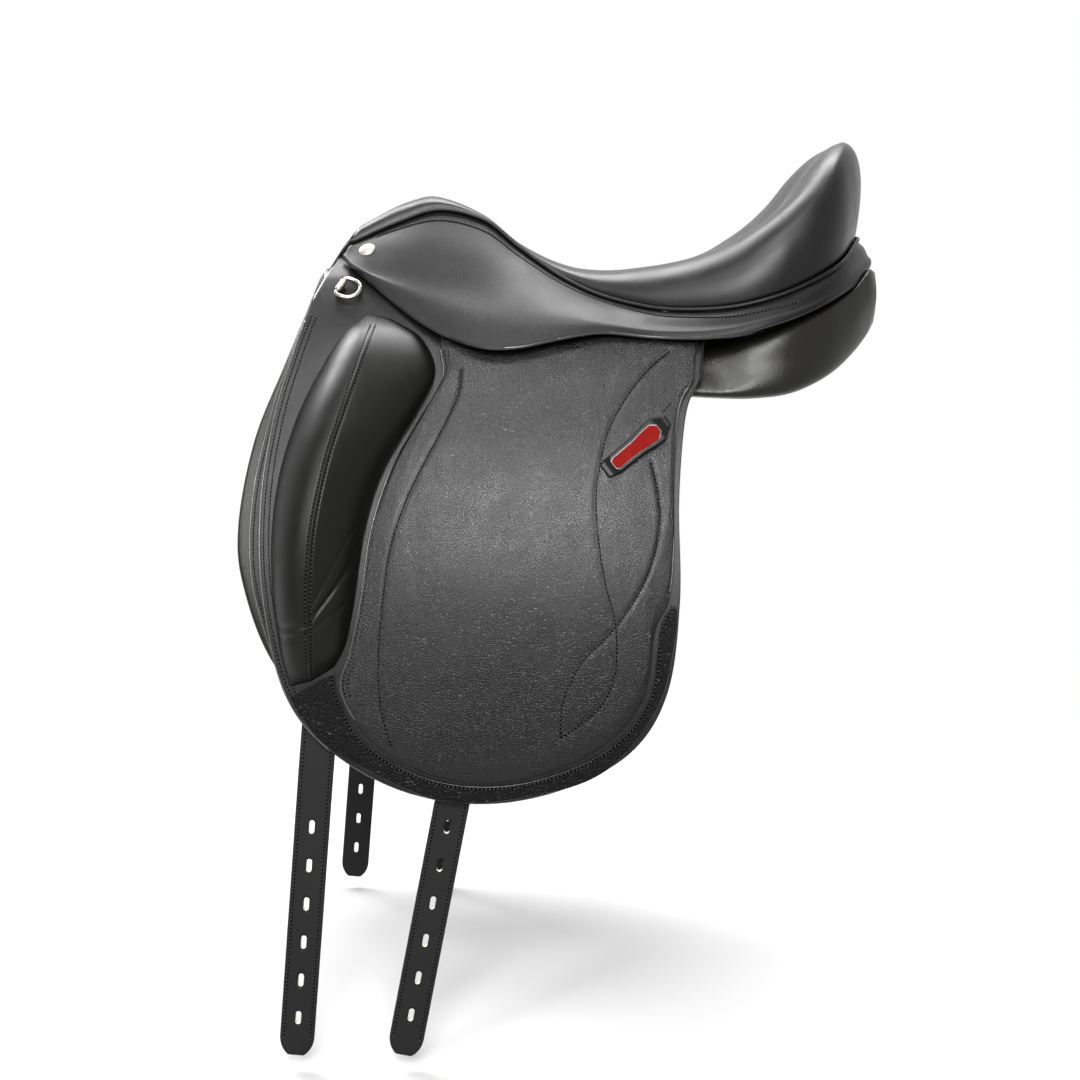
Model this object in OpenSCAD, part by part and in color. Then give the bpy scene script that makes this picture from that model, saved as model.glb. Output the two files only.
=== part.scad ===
// Dressage saddle: leather seat on a moulded tree, with lifting flaps, skirt laps,
// swinging girth straps, stirrup bars with safety catches and hinged dee rings.
// Front (pommel) is -X, the rider's left side is -Y, up is +Z. Millimetres.
// The origin is on the horse's spine line, below the deepest point of the seat.

/* [Seat] */
// From the deepest point of the seat forward to the front of the pommel
seat_front = 187; // [180:1:195]
// From the deepest point of the seat back to the top of the cantle
seat_rear = 212; // [205:1:220]
// Height of the deepest point of the seat above the spine line
seat_height = 93; // [90:1:97]
// Rise of the pommel above the deepest point
pommel_rise = 64; // [60:1:70]
// Rise of the cantle above the deepest point
cantle_rise = 110; // [104:1:118]
// Full width of the seat at its widest place, seam to seam
seat_w = 260; // [254:1:266]
// Thickness of the seat leather
seat_leather = 2.5; // [2:0.1:3]
// Radius of the piping in the seat seam
welt_r = 2.4; // [1.8:0.1:2.8]
// Depth of the seat foam below the leather
foam_depth = 14; // [10:0.5:15]

/* [Flaps] */
// Half width of the saddle over the outside of the flaps
side_half_w = 222; // [216:1:228]
// Height of the side curve from the flap bottom to the top of its arch
side_rise = 458; // [450:1:466]
// How far the flap hangs below the spine line
flap_drop = 328; // [310:1:345]
// Thickness of the flap leather
flap_t = 5; // [4:0.25:5.5]
// Thickness of the padded cover sewn on the flap
cover_t = 3.5; // [2.5:0.25:4.5]
// Thickness of the grained wear strip at the flap edge
strip_t = 1.8; // [1.2:0.2:2.6]
// Greatest height of the knee block above the flap
block_h = 46; // [36:1:50]
// Thickness of the skirt leather
skirt_t = 3.5; // [3:0.25:4]
// Thickness of the sweat flap
sweat_t = 3.5; // [3:0.25:4.5]
// Thickness of the padded knee panel
knee_panel_t = 14; // [10:0.5:18]

/* [Straps] */
// Width of a girth strap
billet_w = 28; // [24:1:30]
// Thickness of a girth strap
billet_t = 4; // [3:0.25:4.5]
// Distance between buckle holes
hole_pitch = 32; // [25:1:35]
// Buckle holes in a strap
hole_count = 6; // [4:1:6]
// Width of a buckle hole
hole_w = 4.4; // [4:0.2:6]
// Length of a buckle hole along the strap
hole_l = 11; // [8:0.5:14]
// Keeper length along the flap
keeper_l = 64; // [50:1:70]
// Keeper width
keeper_w = 21; // [16:1:24]
// Thickness of the keeper leather
keeper_t = 3; // [2:0.25:4]
// Room under the keeper for the end of a stirrup leather
keeper_gap = 3.6; // [2:0.2:4]

/* [Hardware] */
// Diameter of a saddle nail head
nail_d = 15; // [12:0.5:18]
// Inside width of a dee ring
dee_w = 20; // [16:1:24]
// Reach of a dee ring from its hinge
dee_reach = 17; // [14:0.5:20]
// Wire diameter of a dee ring
dee_wire = 3.6; // [3:0.2:4.2]
// Length of a stirrup bar
bar_l = 62; // [54:1:68]
// Height of a stirrup bar
bar_h = 12; // [10:0.5:14]
// Thickness of a stirrup bar
bar_t = 6.5; // [6:0.25:7]
// Room behind a stirrup bar for the stirrup leather
bar_gap = 6.5; // [6:0.25:7]
// Length of a safety catch past its pin
catch_l = 9.5; // [7:0.5:10]

/* [Tree and panels] */
// Width of a tree rail
rail_w = 24; // [20:0.5:26]
// Height of a tree rail
rail_h = 13; // [11:0.5:14]
// Thickness of the steel springs and plates
steel_t = 1.6; // [1.2:0.1:2]
// Half width of the channel between the panels
channel_half = 34; // [30:1:38]

/* [Hidden] */
$fn = 48;

// Clearance between neighbouring pieces
gap = 0.3;
// Clearance between two curved layers of the side
layer_gap = 0.8;
// Clearance at a leather fold
fold_gap = 0.6;
// Free space on each side of a girth strap
strap_room = 2;

// Layers of the side, as offsets from the outside face of the flap
flap_in = -flap_t;
billet_out = flap_in - strap_room;
billet_in = billet_out - billet_t;
sweat_out = billet_in - strap_room;
sweat_in = sweat_out - sweat_t;
panel_out = sweat_in - layer_gap;
cover_in = layer_gap;
cover_out = cover_in + cover_t;

// Plain helpers
function mix(a, b, t) = a + (b - a) * t;
function unit(v) = v / max(norm(v), 1e-9);
function clamp(v, lo, hi) = min(max(v, lo), hi);
function total(v) = v * [for (i = v) 1];
function flip_y(p) = [p[0], -p[1], p[2]];

// Catmull-Rom curve through a list of points, t from 0 to 1
function curve_part(a, b, c, d, t) =
  (2 * b + (c - a) * t + (2 * a - 5 * b + 4 * c - d) * t * t
    + (3 * b - a - 3 * c + d) * t * t * t) / 2;
function curve(p, t) =
  let (n = len(p) - 1, s = clamp(t, 0, 1) * n, i = min(floor(s), n - 1))
  let (a = i > 0 ? p[i - 1] : 2 * p[0] - p[1])
  let (d = i < n - 1 ? p[i + 2] : 2 * p[n] - p[n - 1])
  curve_part(a, p[i], p[i + 1], d, s - i);
function ring_curve(p, t) =
  let (n = len(p), s = t * n, i = floor(s) % n)
  curve_part(p[(i + n - 1) % n], p[i], p[(i + 1) % n], p[(i + 2) % n], s - floor(s));

// Grading of the pattern: lengths along the seat, heights of pommel and cantle, widths
function gx(x) = x < 0 ? x * seat_front / 187 : x * seat_rear / 212;
function gy(y) = y * seat_w / 260;
function gz(x, z) =
  z < 0 ? z * flap_drop / 328 : z + (seat_height - 93) + grade_rise(x) * clamp(z / 93 - 1, 0, 2);
function grade_rise(x) = x < 0 ? (pommel_rise - 64) / 0.7 : (cantle_rise - 110) / 1.18;
function graded(p) = [gx(p[0]), gy(p[1]), gz(p[0], p[2])];
function graded_all(list) = [for (p = list) graded(p)];

// Side surface that all the flap layers follow
side_centre = -(flap_drop + 2);
function side_y(z, d) =
  z < side_centre ? side_half_w + d
  : (side_half_w + d) * sqrt(max(0, 1 - pow((z - side_centre) / (side_rise + d), 2)));
function on_side(p, d) = [p[0], -side_y(p[1], d), p[1]];
function pattern(list) = [for (p = list) [gx(p[0]), gz(p[0], p[1])]];
function side_normal(z) =
  unit([0, -side_y(z, 0) / pow(side_half_w, 2), (z - side_centre) / pow(side_rise, 2)]);

// Rows of points between two edges
function span(a, b, rows, cols) =
  [for (r = [0:rows]) [for (c = [0:cols]) mix(curve(a, c / cols), curve(b, c / cols), r / rows)]];
function wrap(flat, d) = [for (row = flat) [for (p = row) on_side(p, d)]];

// Normals of a grid of points, and the grid moved along them
function grid_normal(g, r, c) =
  let (rows = len(g) - 1, cols = len(g[0]) - 1)
  let (u = g[min(r + 1, rows)][c] - g[max(r - 1, 0)][c])
  let (v = g[r][min(c + 1, cols)] - g[r][max(c - 1, 0)])
  unit(cross(u, v));
function moved(g, t) =
  [for (r = [0:len(g) - 1]) [for (c = [0:len(g[0]) - 1]) g[r][c] + t * grid_normal(g, r, c)]];

// Closed solids from points, with the faces turned outwards
function volume_of(pts, faces) =
  total([for (f = faces) pts[f[0]] * cross(pts[f[1]], pts[f[2]])]);
module solid(pts, faces) {
  out = volume_of(pts, faces) > 0 ? [for (f = faces) [f[0], f[2], f[1]]] : faces;
  polyhedron(pts, out);
}
function quad(a, b, c, d) = [[a, b, c], [a, c, d]];
function flat_list(list) = [for (part = list) for (item = part) item];

// Slab between two equal grids of points
module slab(top, low) {
  rows = len(top) - 1;
  cols = len(top[0]) - 1;
  w = cols + 1;
  n = (rows + 1) * w;
  pts = concat(flat_list(top), flat_list(low));
  skins = [for (r = [0:rows - 1]) for (c = [0:cols - 1])
    let (a = r * w + c, b = a + 1, d = a + w, e = d + 1)
    concat(quad(a, b, e, d), quad(n + a, n + d, n + e, n + b))];
  long_walls = [for (c = [0:cols - 1]) let (a = c, z = rows * w + c)
    concat(quad(a, n + a, n + a + 1, a + 1), quad(z, z + 1, n + z + 1, n + z))];
  end_walls = [for (r = [0:rows - 1]) let (a = r * w, z = r * w + cols)
    concat(quad(a, a + w, n + a + w, n + a), quad(z, n + z, n + z + w, z + w))];
  solid(pts, flat_list(concat(skins, long_walls, end_walls)));
}

// Loft through rings of points, with closed ends or closed on itself
module loft(rings, loop = false) {
  k = len(rings[0]);
  m = len(rings);
  pts = flat_list(rings);
  sides = [for (i = [0:m - (loop ? 1 : 2)]) for (j = [0:k - 1])
    let (a = i * k + j, b = i * k + (j + 1) % k)
    let (c = ((i + 1) % m) * k + j, d = ((i + 1) % m) * k + (j + 1) % k)
    quad(a, b, d, c)];
  first_cap = [for (j = [1:k - 2]) [0, j + 1, j]];
  far = (m - 1) * k;
  last_cap = [for (j = [1:k - 2]) [far, far + j, far + j + 1]];
  caps = loop ? [] : [first_cap, last_cap];
  solid(pts, flat_list(concat(sides, caps)));
}

module left() children();
module right() mirror([0, 1, 0]) children();
module both() {
  left() children();
  right() children();
}

// Seam round the seat, from the pommel back to the middle of the cantle
seam = graded_all([
  [-213, -66, 115], [-173, -57, 133], [-139, -54, 143], [-101, -56, 134], [-71, -62, 111],
  [-37, -75, 87], [-4, -91, 71], [36, -110, 61], [69, -121, 59], [100, -128, 61],
  [124, -130, 66], [149, -127, 74], [175, -116, 86], [195, -95, 98], [210, -60, 112],
  [219, -28, 119], [222, 0, 121]
]);
// Middle line of the seat, matched to the seam. Behind the dip the ribs fan out from one place
spine = graded_all([
  [-187, 0, 144], [-168, 0, 153], [-143, 0, 157], [-106, 0, 139.5], [-72, 0, 114],
  [-37, 0, 99], [-4, 0, 93.5], [36, 0, 95], [69, 0, 100.5], [98, 0, 108], [110, 0, 112],
  [117, 0, 114.5], [122, 0, 116.3], [126, 0, 117.6], [129, 0, 118.6], [132, 0, 119.6], [135, 0, 120.6]
]);
// Highest place of each rib: share of the way in from the seam, and height
crest_share = [0.5, 0.5, 0.5, 0.5, 0.5, 0.45, 0.42, 0.4, 0.36, 0.31, 0.26, 0.22, 0.2, 0.19, 0.19,
  0.19, 0.19];
crest_height = [137, 150, 155, 140, 115.5, 98.5, 92, 95, 99.5, 107, 117, 133, 156, 178, 194.5, 201.5, 203];
crest_line = [for (i = [0:len(crest_height) - 1]) gz(seam[i][0], crest_height[i])];
seam_last = len(seam) - 1;
seat_rows = 28;
roll_steps = 4;
bowl_steps = 4;
seat_half_cols = roll_steps + bowl_steps;
// How far the side of the seat swells past its seam
seat_swell = [1, 2, 3, 4, 4, 4, 4, 4, 4, 4, 4.5, 5.5, 6.5, 7.5, 8, 8, 8];
// Fall from the crest of a rib to the spine, over the share t of the way
function bowl_fall(t) = (1 + cos(180 * pow(t, 0.85))) / 2;
// Extra way to the rear that rounds the cut-back of the pommel
function cut_back(u, t) = clamp(1 - 4 * u, 0, 1) * (sin(90 * clamp(t, 0, 1)) - clamp(t, 0, 1));

// One rib of the seat: up from the seam to the crest, then down into the bowl
function half_rib(u, drop, j) =
  let (w = curve(seam, u), s = curve(spine, u) - [0, 0, drop])
  let (inward = unit([s[0] - w[0], s[1] - w[1], 0]))
  let (reach = norm([s[0] - w[0], s[1] - w[1]]), share = curve(crest_share, u))
  let (top = curve(crest_line, u) - drop, swell = curve(seat_swell, u))
  j <= roll_steps
  ? let (a = 90 * j / roll_steps)
    let (way = share * reach * (1 - cos(a)) - swell * sin(2 * a) + drop * cos(a))
    w + way * inward + [cut_back(u, way / reach) * (s[0] - w[0]), 0, (top - w[2]) * sin(a)]
  : let (t = (j - roll_steps) / bowl_steps, way = mix(share, 1, t) * reach)
    [w[0] + way * inward[0] + cut_back(u, way / reach) * (s[0] - w[0]), w[1] + way * inward[1],
      mix(s[2], top, bowl_fall(t))];
function rib(u, drop) =
  [for (j = [-seat_half_cols:seat_half_cols])
    let (p = half_rib(u, drop, seat_half_cols - abs(j)))
    j <= 0 ? p : flip_y(p)];
function seat_grid(drop) = [for (r = [0:seat_rows]) rib(r / seat_rows, drop)];

// Sheet over the seat between two grids of ribs, closed on itself behind the cantle
module seat_layer(top, low) {
  w = 2 * seat_half_cols + 1;
  n = (seat_rows + 1) * w;
  m = seat_half_cols;
  function weld(r, c) = r * w + (r == seat_rows ? min(c, 2 * m - c) : c);
  pts = concat(flat_list(top), flat_list(low));
  quads = [for (r = [0:seat_rows - 1]) for (c = [0:w - 2])
    let (a = weld(r, c), b = weld(r, c + 1), d = weld(r + 1, c), e = weld(r + 1, c + 1))
    c < m ? concat(quad(a, b, e, d), quad(n + a, n + d, n + e, n + b))
          : concat(quad(b, e, d, a), quad(n + b, n + a, n + d, n + e))];
  front = [for (c = [0:w - 2]) quad(c, n + c, n + c + 1, c + 1)];
  rims = [for (r = [0:seat_rows - 1])
    let (a = weld(r, 0), d = weld(r + 1, 0), b = weld(r, w - 1), e = weld(r + 1, w - 1))
    concat(quad(a, d, n + d, n + a), quad(b, n + b, n + e, e))];
  faces = [for (f = flat_list(concat(quads, front, rims)))
    if (f[0] != f[1] && f[1] != f[2] && f[0] != f[2]) f];
  solid(pts, faces);
}

// Tree rail: middle line of the left half, from the head back to the cantle
rail_line = graded_all([
  [-178, 0, 128], [-176, -30, 121], [-171, -54, 104], [-156, -67, 87], [-105, -71, 68],
  [-50, -72, 59], [0, -79, 52], [45, -90, 44.5], [85, -98, 43], [120, -99, 47],
  [152, -91, 56], [182, -72, 71], [200, -42, 86], [206, 0, 93]
]);
rail_last = len(rail_line) - 1;
rail_full = concat(rail_line, [for (i = [rail_last - 1:-1:1]) flip_y(rail_line[i])]);
rail_rings = 52;
function rail_at(t) = ring_curve(rail_full, t);
function rail_dir(t) = unit(rail_at(t + 0.004) - rail_at(t - 0.004));
// Section of the rail: across, and thickness square to the seat
function rail_out(t) = unit(cross(rail_dir(t), [0, 0, 1]));
function rail_up(t) = unit(cross(rail_out(t), rail_dir(t)));
function rail_ring(t, w, lo, hi) =
  let (p = rail_at(t), o = rail_out(t) * w / 2, n = rail_up(t))
  [p - o + n * lo, p + o + n * lo, p + o + n * hi, p - o + n * hi];
module rail_loop(w, lo, hi) {
  loft([for (i = [0:rail_rings - 1]) rail_ring(1 + i / rail_rings, w, lo, hi)], true);
}
// Height of the rail's middle line at one place along the saddle
rail_top_table = [for (p = rail_line) [p[0], p[2]]];
function rail_z(x) = lookup(x, [for (i = [2:rail_last]) rail_top_table[i]]);

module tree_frame() {
  color("dimgray") rail_loop(rail_w, -rail_h / 2, rail_h / 2);
}

// Steel arch on the front of the tree head
plate_rings = 6;
module head_plate() {
  color("silver") loft([for (i = [-plate_rings:plate_rings])
    rail_ring(1 + i / rail_rings, 4 - rail_w, rail_h / 2 + layer_gap,
      rail_h / 2 + layer_gap + steel_t)]);
}

// Steel springs under the two rails
spring_first = 8;
spring_last = 21;
module spring_bar() {
  loft([for (i = [spring_first:spring_last])
    rail_ring(1 + i / rail_rings, 6 - rail_w, -rail_h / 2 - gap - steel_t, -rail_h / 2 - gap)]);
}
module spring_bars() {
  color("silver") both() spring_bar();
}

// Cross webs stretched over the rails
web_places = [-62, 0, 62, 122];
web_w = 44;
web_t = 2;
web_steps = 4;
function web_z(x) = rail_z(x) + rail_h / 2 + 2.2;
module seat_web(x) {
  half = abs(lookup(x, [for (p = rail_line) if (p[0] > -170 && p[0] < 195) [p[0], p[1]]]));
  function row(dx, dz) =
    [for (i = [-web_steps:web_steps]) [x + dx, half * i / web_steps, web_z(x + dx) + dz]];
  slab([row(-web_w / 2, web_t), row(0, web_t), row(web_w / 2, web_t)],
    [row(-web_w / 2, 0), row(0, 0), row(web_w / 2, 0)]);
}
module seat_webs() {
  color("tan") for (x = web_places) seat_web(gx(x));
}

module seat_cover() {
  color([0.10, 0.10, 0.11]) seat_layer(seat_grid(0), seat_grid(seat_leather));
}

// Foam between the leather and the webs, thinner over the head of the tree
foam_room = 0.6;
foam_share = [0.3, 0.35, 0.4, 0.5, 0.7, 0.9, 1, 1, 1, 1, 1, 1, 1, 1, 1, 1, 1];
function foam_drop(u) = seat_leather + foam_depth * curve(foam_share, u);
module seat_foam() {
  color("khaki") seat_layer(seat_grid(seat_leather + foam_room),
    [for (r = [0:seat_rows]) rib(r / seat_rows, foam_drop(r / seat_rows))]);
}

// Piping in the seat seam
welt_rings = 40;
welt_sides = 6;
welt_room = 0.8;
// The piping lies just outside the seam, clear of leather above and below
function welt_at(i) =
  let (u = 1 - abs(i) / welt_rings)
  let (p = curve(seam, u), s = curve(spine, u))
  let (q = p + (welt_r + welt_room) * unit([p[0] - s[0], p[1] - s[1], 0]))
  i <= 0 ? q : flip_y(q);
function welt_ring(i) =
  let (p = welt_at(i), d = unit(welt_at(min(i + 1, welt_rings)) - welt_at(max(i - 1, -welt_rings))))
  let (o = unit(cross(d, [0, 0, 1])), n = cross(o, d))
  [for (k = [0:welt_sides - 1]) p + welt_r * (cos(360 * k / welt_sides) * o + sin(360 * k / welt_sides) * n)];
module seat_welt() {
  color([0.14, 0.14, 0.15]) loft([for (i = [-welt_rings:welt_rings]) welt_ring(i)]);
}

// Skirt fold: a straight line on the outside face, where the lap lifts
fold_front = graded([-205, -93.7, 93]);
fold_rear = graded([15, -139, 44.5]);
function fold_at(x) =
  mix(fold_front, fold_rear, (gx(x) - fold_front[0]) / (fold_rear[0] - fold_front[0]));
// Lower edge of the sewn part of the skirt, matched to the seam
skirt_edge = concat(
  [graded([-221, -75, 101])],
  [for (x = [-198, -150, -108, -75, -38, -4]) fold_at(x)],
  graded_all([[36, -146, 37], [72, -150, 36], [104, -150, 39], [132, -147, 46], [158, -138, 54]])
);
skirt_count = len(skirt_edge);
skirt_seam = [for (i = [0:skirt_count - 1]) seam[i]];
// Free edge of the lap, matched to the fold
lap_places = [-199, -188, -150, -108, -75, -38, -14, 0];
lap_edge = graded_all([
  [-204, -99, 88], [-190, -111, 75], [-150, -137, 48], [-108, -158, 31], [-75, -161, 29],
  [-38, -155, 36], [-14, -150, 39.5], [0, -148, 41]
]);

// Skirt leather between two edges, bowed out a little, with its seam side let in below the welt
skirt_drop = welt_r - 0.2;
function bow(t) = 4 * t * (1 - t);
function bowed(a, b, rows, cols, swell) =
  [for (r = [0:rows]) [for (c = [0:cols])
    mix(curve(a, c / cols), curve(b, c / cols), r / rows) + bow(r / rows) * swell * [0, -0.7, 0.7]]];
// Share of the fold gap along the lower edge of the skirt, more at the turned front corner
skirt_ease = [0, 2, 2, 1, 1, 1, 1, 0, 0, 0, 0, 0];
skirt_rows = 4;
skirt_cols = 26;
module skirt() {
  top = [for (p = skirt_seam) p - [0, 0, skirt_drop]];
  low = [for (i = [0:skirt_count - 1])
    skirt_edge[i] + fold_gap * skirt_ease[i] * unit(skirt_seam[i] - skirt_edge[i])];
  outer = bowed(top, low, skirt_rows, skirt_cols, 1.5);
  slab(outer, moved(outer, -skirt_t));
}
module skirt_left() {
  color([0.12, 0.12, 0.13]) left() skirt();
}
module skirt_right() {
  color([0.12, 0.12, 0.13]) right() skirt();
}
module skirt_lap() {
  folds = [for (x = lap_places) fold_at(x)];
  outer = bowed(folds, lap_edge, 3, 18, 1.2);
  slab(outer, moved(outer, -skirt_t));
}
module skirt_lap_left() {
  color([0.12, 0.12, 0.13]) left() skirt_lap();
}
module skirt_lap_right() {
  color([0.12, 0.12, 0.13]) right() skirt_lap();
}

// Band round the back of the cantle, below the seam
band_edge = graded_all([
  [160, -138, 54.5], [184, -121, 65], [206, -92, 77], [222, -58, 89], [233, -26, 98], [236, 0, 101]
]);
band_count = len(band_edge);
band_first = seam_last + 1 - band_count;
band_cols = 22;
module cantle_band() {
  seam_half = [for (i = [0:band_count - 1])
    seam[band_first + i] - [0, 0, skirt_drop] + (i == 0 ? [gap + 0.4, 0, 0.2] : [0, 0, 0])];
  top = concat(seam_half, [for (i = [band_count - 2:-1:0]) flip_y(seam_half[i])]);
  low = concat(band_edge, [for (i = [band_count - 2:-1:0]) flip_y(band_edge[i])]);
  outer = [for (r = [0:3]) [for (c = [0:band_cols])
    let (a = curve(top, c / band_cols), b = curve(low, c / band_cols))
    mix(a, b, r / 3) + bow(r / 3) * 2 * unit([b[0] - 120, b[1], 60])]];
  color([0.12, 0.12, 0.13]) slab(outer, moved(outer, -skirt_t));
}

// Facing that closes the front of the pommel, under the first rib of the seat
facing_low = graded_all([[-226, -66, 92], [-219, -45, 104], [-214, 0, 112], [-219, 45, 104],
  [-226, 66, 92]]);
facing_cols = 2 * seat_half_cols;
module pommel_facing() {
  first = rib(0, 0);
  top = [for (p = first) p - [3.4, 0, 1.2]];
  inset = [for (p = top) [p[0], p[1] * 0.93, p[2]]];
  outer = [for (r = [0:3]) [for (c = [0:facing_cols])
    mix(inset[c], curve(facing_low, c / facing_cols), r / 3) - bow(r / 3) * [3, 0, 0]]];
  color([0.12, 0.12, 0.13]) slab(outer, [for (row = outer) [for (p = row) p + [3, 0, -1]]]);
}

// Lining of the channel, under the webs
lining_places = concat([-164, -120], [for (x = web_places) for (e = [-1, 0, 1]) x + e * web_w / 2],
  [166, 186]);
lining_cols = 8;
lining_t = 2;
lining_bow = 8;
function lining_row(x, dz) =
  [for (i = [-lining_cols / 2:lining_cols / 2])
    let (s = 2 * i / lining_cols)
    [gx(x), s * (channel_half + 6), web_z(gx(x)) - layer_gap - lining_bow * s * s + dz]];
module gullet_lining() {
  color([0.16, 0.16, 0.16]) slab([for (x = lining_places) lining_row(x, 0)],
    [for (x = lining_places) lining_row(x, -lining_t)]);
}

// Bearing panels: rings across the cushion, from the front to the rear.
// Each station: place, inside top, outside top, outside low, inside low, as width and height
panel_stations = [
  [-204, 46, 66, 84, 62, 118, 4, 54, 40],
  [-196, 44, 68, 88, 62, 126, -6, 52, 36],
  [-160, 40, 62, 94, 56, 132, -12, 47, 26],
  [-105, 36, 50, 100, 50, 136, -14, 42, 18],
  [-50, 34, 41, 106, 42, 138, -13, 38, 12],
  [0, 34, 34, 112, 34, 138, -12, 37, 8],
  [45, 34, 28, 120, 28, 137, -11, 36, 4],
  [85, 34, 27, 132, 28, 139, -12, 36, 0],
  [120, 34, 31, 136, 33, 138, -12, 37, 0],
  [152, 34, 40, 128, 42, 131, -8, 40, 4],
  [182, 34, 54, 112, 56, 114, 4, 42, 14],
  [206, 36, 68, 92, 68, 92, 20, 44, 28],
  [224, 40, 86, 72, 87, 72, 38, 46, 44],
  [233, 46, 84, 60, 84, 60, 52, 48, 54]
];
panel_points = 14;
// Rise of the cushion's upper side, up to the tree
panel_crown = 3.7;
panel_room = 0.2;
// Outside of the cushion stays inside the layers of the flap
function panel_y(x, y, z) =
  let (room = side_y(z, panel_out - panel_room))
  x < 100 ? min(gy(y), room) : gy(y);
function panel_ring(s) =
  let (x = gx(s[0]), in_top = [s[1] + channel_half - 34, gz(s[0], s[2])])
  let (out_top = [panel_y(s[0], s[3], s[4]), gz(s[0], s[4])])
  let (out_low = [panel_y(s[0], s[5], s[6]), gz(s[0], s[6])])
  let (in_low = [s[7] + channel_half - 34, gz(s[0], s[8])])
  let (mid_out = mix(out_top, out_low, 0.5) + [s[0] < 100 ? 1 : 7, 1])
  let (mid_low = mix(out_low, in_low, 0.5) - [0, 5], mid_in = mix(in_low, in_top, 0.5) - [1.5, 0])
  let (mid_top = mix(in_top, out_top, 0.5) + [0, panel_crown])
  let (ring = [in_top, mid_top, out_top, mid_out, out_low, mid_low, in_low, mid_in])
  [for (i = [0:panel_points - 1]) let (p = ring_curve(ring, i / panel_points)) [x, -p[0], p[1]]];
panel_steps = 26;
module panel() {
  rings = [for (s = panel_stations) panel_ring(s)];
  loft([for (i = [0:panel_steps])
    [for (j = [0:panel_points - 1]) curve([for (r = rings) r[j]], i / panel_steps)]]);
}
module panel_left() {
  color([0.13, 0.13, 0.14]) left() panel();
}
module panel_right() {
  color([0.13, 0.13, 0.14]) right() panel();
}

// Knee panel: padded layer against the horse, reaching ahead of the flap
knee_panel_inner = pattern([[-216, 90], [-219, 50], [-220, 8], [-214, -24], [-140, -30], [-50, -30],
  [40, -30]]);
knee_panel_outer = pattern([[-236, 94], [-262, 17], [-284, -45], [-295, -112], [-290, -160],
  [-266, -220], [-219, -272], [-164, -304], [-101, -315], [-38, -304], [10, -277], [37, -232],
  [46, -166], [46, -100], [46, -48]]);
knee_rows = 6;
knee_cols = 22;
// Padding thins out towards every edge
function pad_shape(r, c) =
  let (v = bow(clamp(r / knee_rows, 0.04, 0.96)), u = bow(clamp(c / knee_cols, 0.03, 0.97)))
  0.45 + 0.55 * pow(min(v, 1), 0.5) * pow(min(u, 1), 0.3);
module knee_panel() {
  flat = span(knee_panel_inner, knee_panel_outer, knee_rows, knee_cols);
  inner = [for (r = [0:knee_rows]) [for (c = [0:knee_cols])
    on_side(flat[r][c], panel_out - knee_panel_t * pad_shape(r, c))]];
  slab(wrap(flat, panel_out), inner);
}
module knee_panel_left() {
  color([0.17, 0.17, 0.15]) left() knee_panel();
}
module knee_panel_right() {
  color([0.17, 0.17, 0.15]) right() knee_panel();
}

// Sweat flap between the knee panel and the girth straps
sweat_top = pattern([[-237, 90], [-226, 40], [-180, 24], [-60, 20], [66, 8]]);
sweat_edge = pattern([[-239, 86], [-252, 40], [-270, -20], [-283, -85], [-284, -145], [-272, -195],
  [-252, -243], [-215, -277], [-164, -308], [-101, -319], [-38, -308], [12, -280], [39, -235],
  [48, -168], [49, -90], [56, -20], [67, 2]]);
module sweat_flap() {
  flat = span(sweat_top, sweat_edge, 9, 22);
  slab(wrap(flat, sweat_out), wrap(flat, sweat_in));
}
module sweat_flap_left() {
  color([0.13, 0.13, 0.14]) left() sweat_flap();
}
module sweat_flap_right() {
  color([0.13, 0.13, 0.14]) right() sweat_flap();
}

// Fold of the flap: a straight line below which the flap lifts
flap_fold = pattern([[-240, 71], [76, 4]]);
function below(list, dz) = [for (p = list) p - [0, dz]];
flap_edge = pattern([[-241, 67], [-253, 27], [-267, -28], [-275, -95], [-272, -165], [-254, -240],
  [-219, -285], [-164, -317], [-101, -328], [-38, -317], [17, -287], [46, -240], [56, -168],
  [56, -90], [62.5, -25], [73.5, 2]]);
flap_rows = 10;
flap_cols = 24;
module flap() {
  flat = span(flap_fold, flap_edge, flap_rows, flap_cols);
  slab(wrap(flat, 0), wrap(flat, flap_in));
}
module flap_left() {
  color([0.12, 0.12, 0.13]) left() flap();
}
module flap_right() {
  color([0.12, 0.12, 0.13]) right() flap();
}

// Fixed head of the flap, above the fold and under the skirt
head_top = pattern([[-230, 100], [-196, 88], [-150, 68], [-100, 55], [-58, 47], [0, 46.5], [36, 45],
  [80, 37]]);
module flap_head() {
  flat = span(below(flap_fold, -fold_gap), head_top, 3, 20);
  slab(wrap(flat, 0), wrap(flat, flap_in));
}
module flap_head_left() {
  color([0.12, 0.12, 0.13]) left() flap_head();
}
module flap_head_right() {
  color([0.12, 0.12, 0.13]) right() flap_head();
}

// Padded cover on the flap, behind the knee block
cover_top = pattern([[-133, 34], [-60, 22], [66, 0]]);
cover_edge = pattern([[-135, 27], [-133, 3], [-153, -32], [-174, -70], [-188, -116], [-195, -166],
  [-203, -205], [-210, -237], [-184, -277], [-133, -304], [-70, -306], [-7, -281], [27, -241],
  [36, -190], [47, -166], [51, -130], [52, -75], [57, -20], [65, -3]]);
module flap_cover() {
  flat = span(cover_top, cover_edge, 9, 24);
  slab(wrap(flat, cover_out), wrap(flat, cover_in));
}
module flap_cover_left() {
  color([0.11, 0.11, 0.12]) left() flap_cover();
}
module flap_cover_right() {
  color([0.11, 0.11, 0.12]) right() flap_cover();
}

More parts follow.
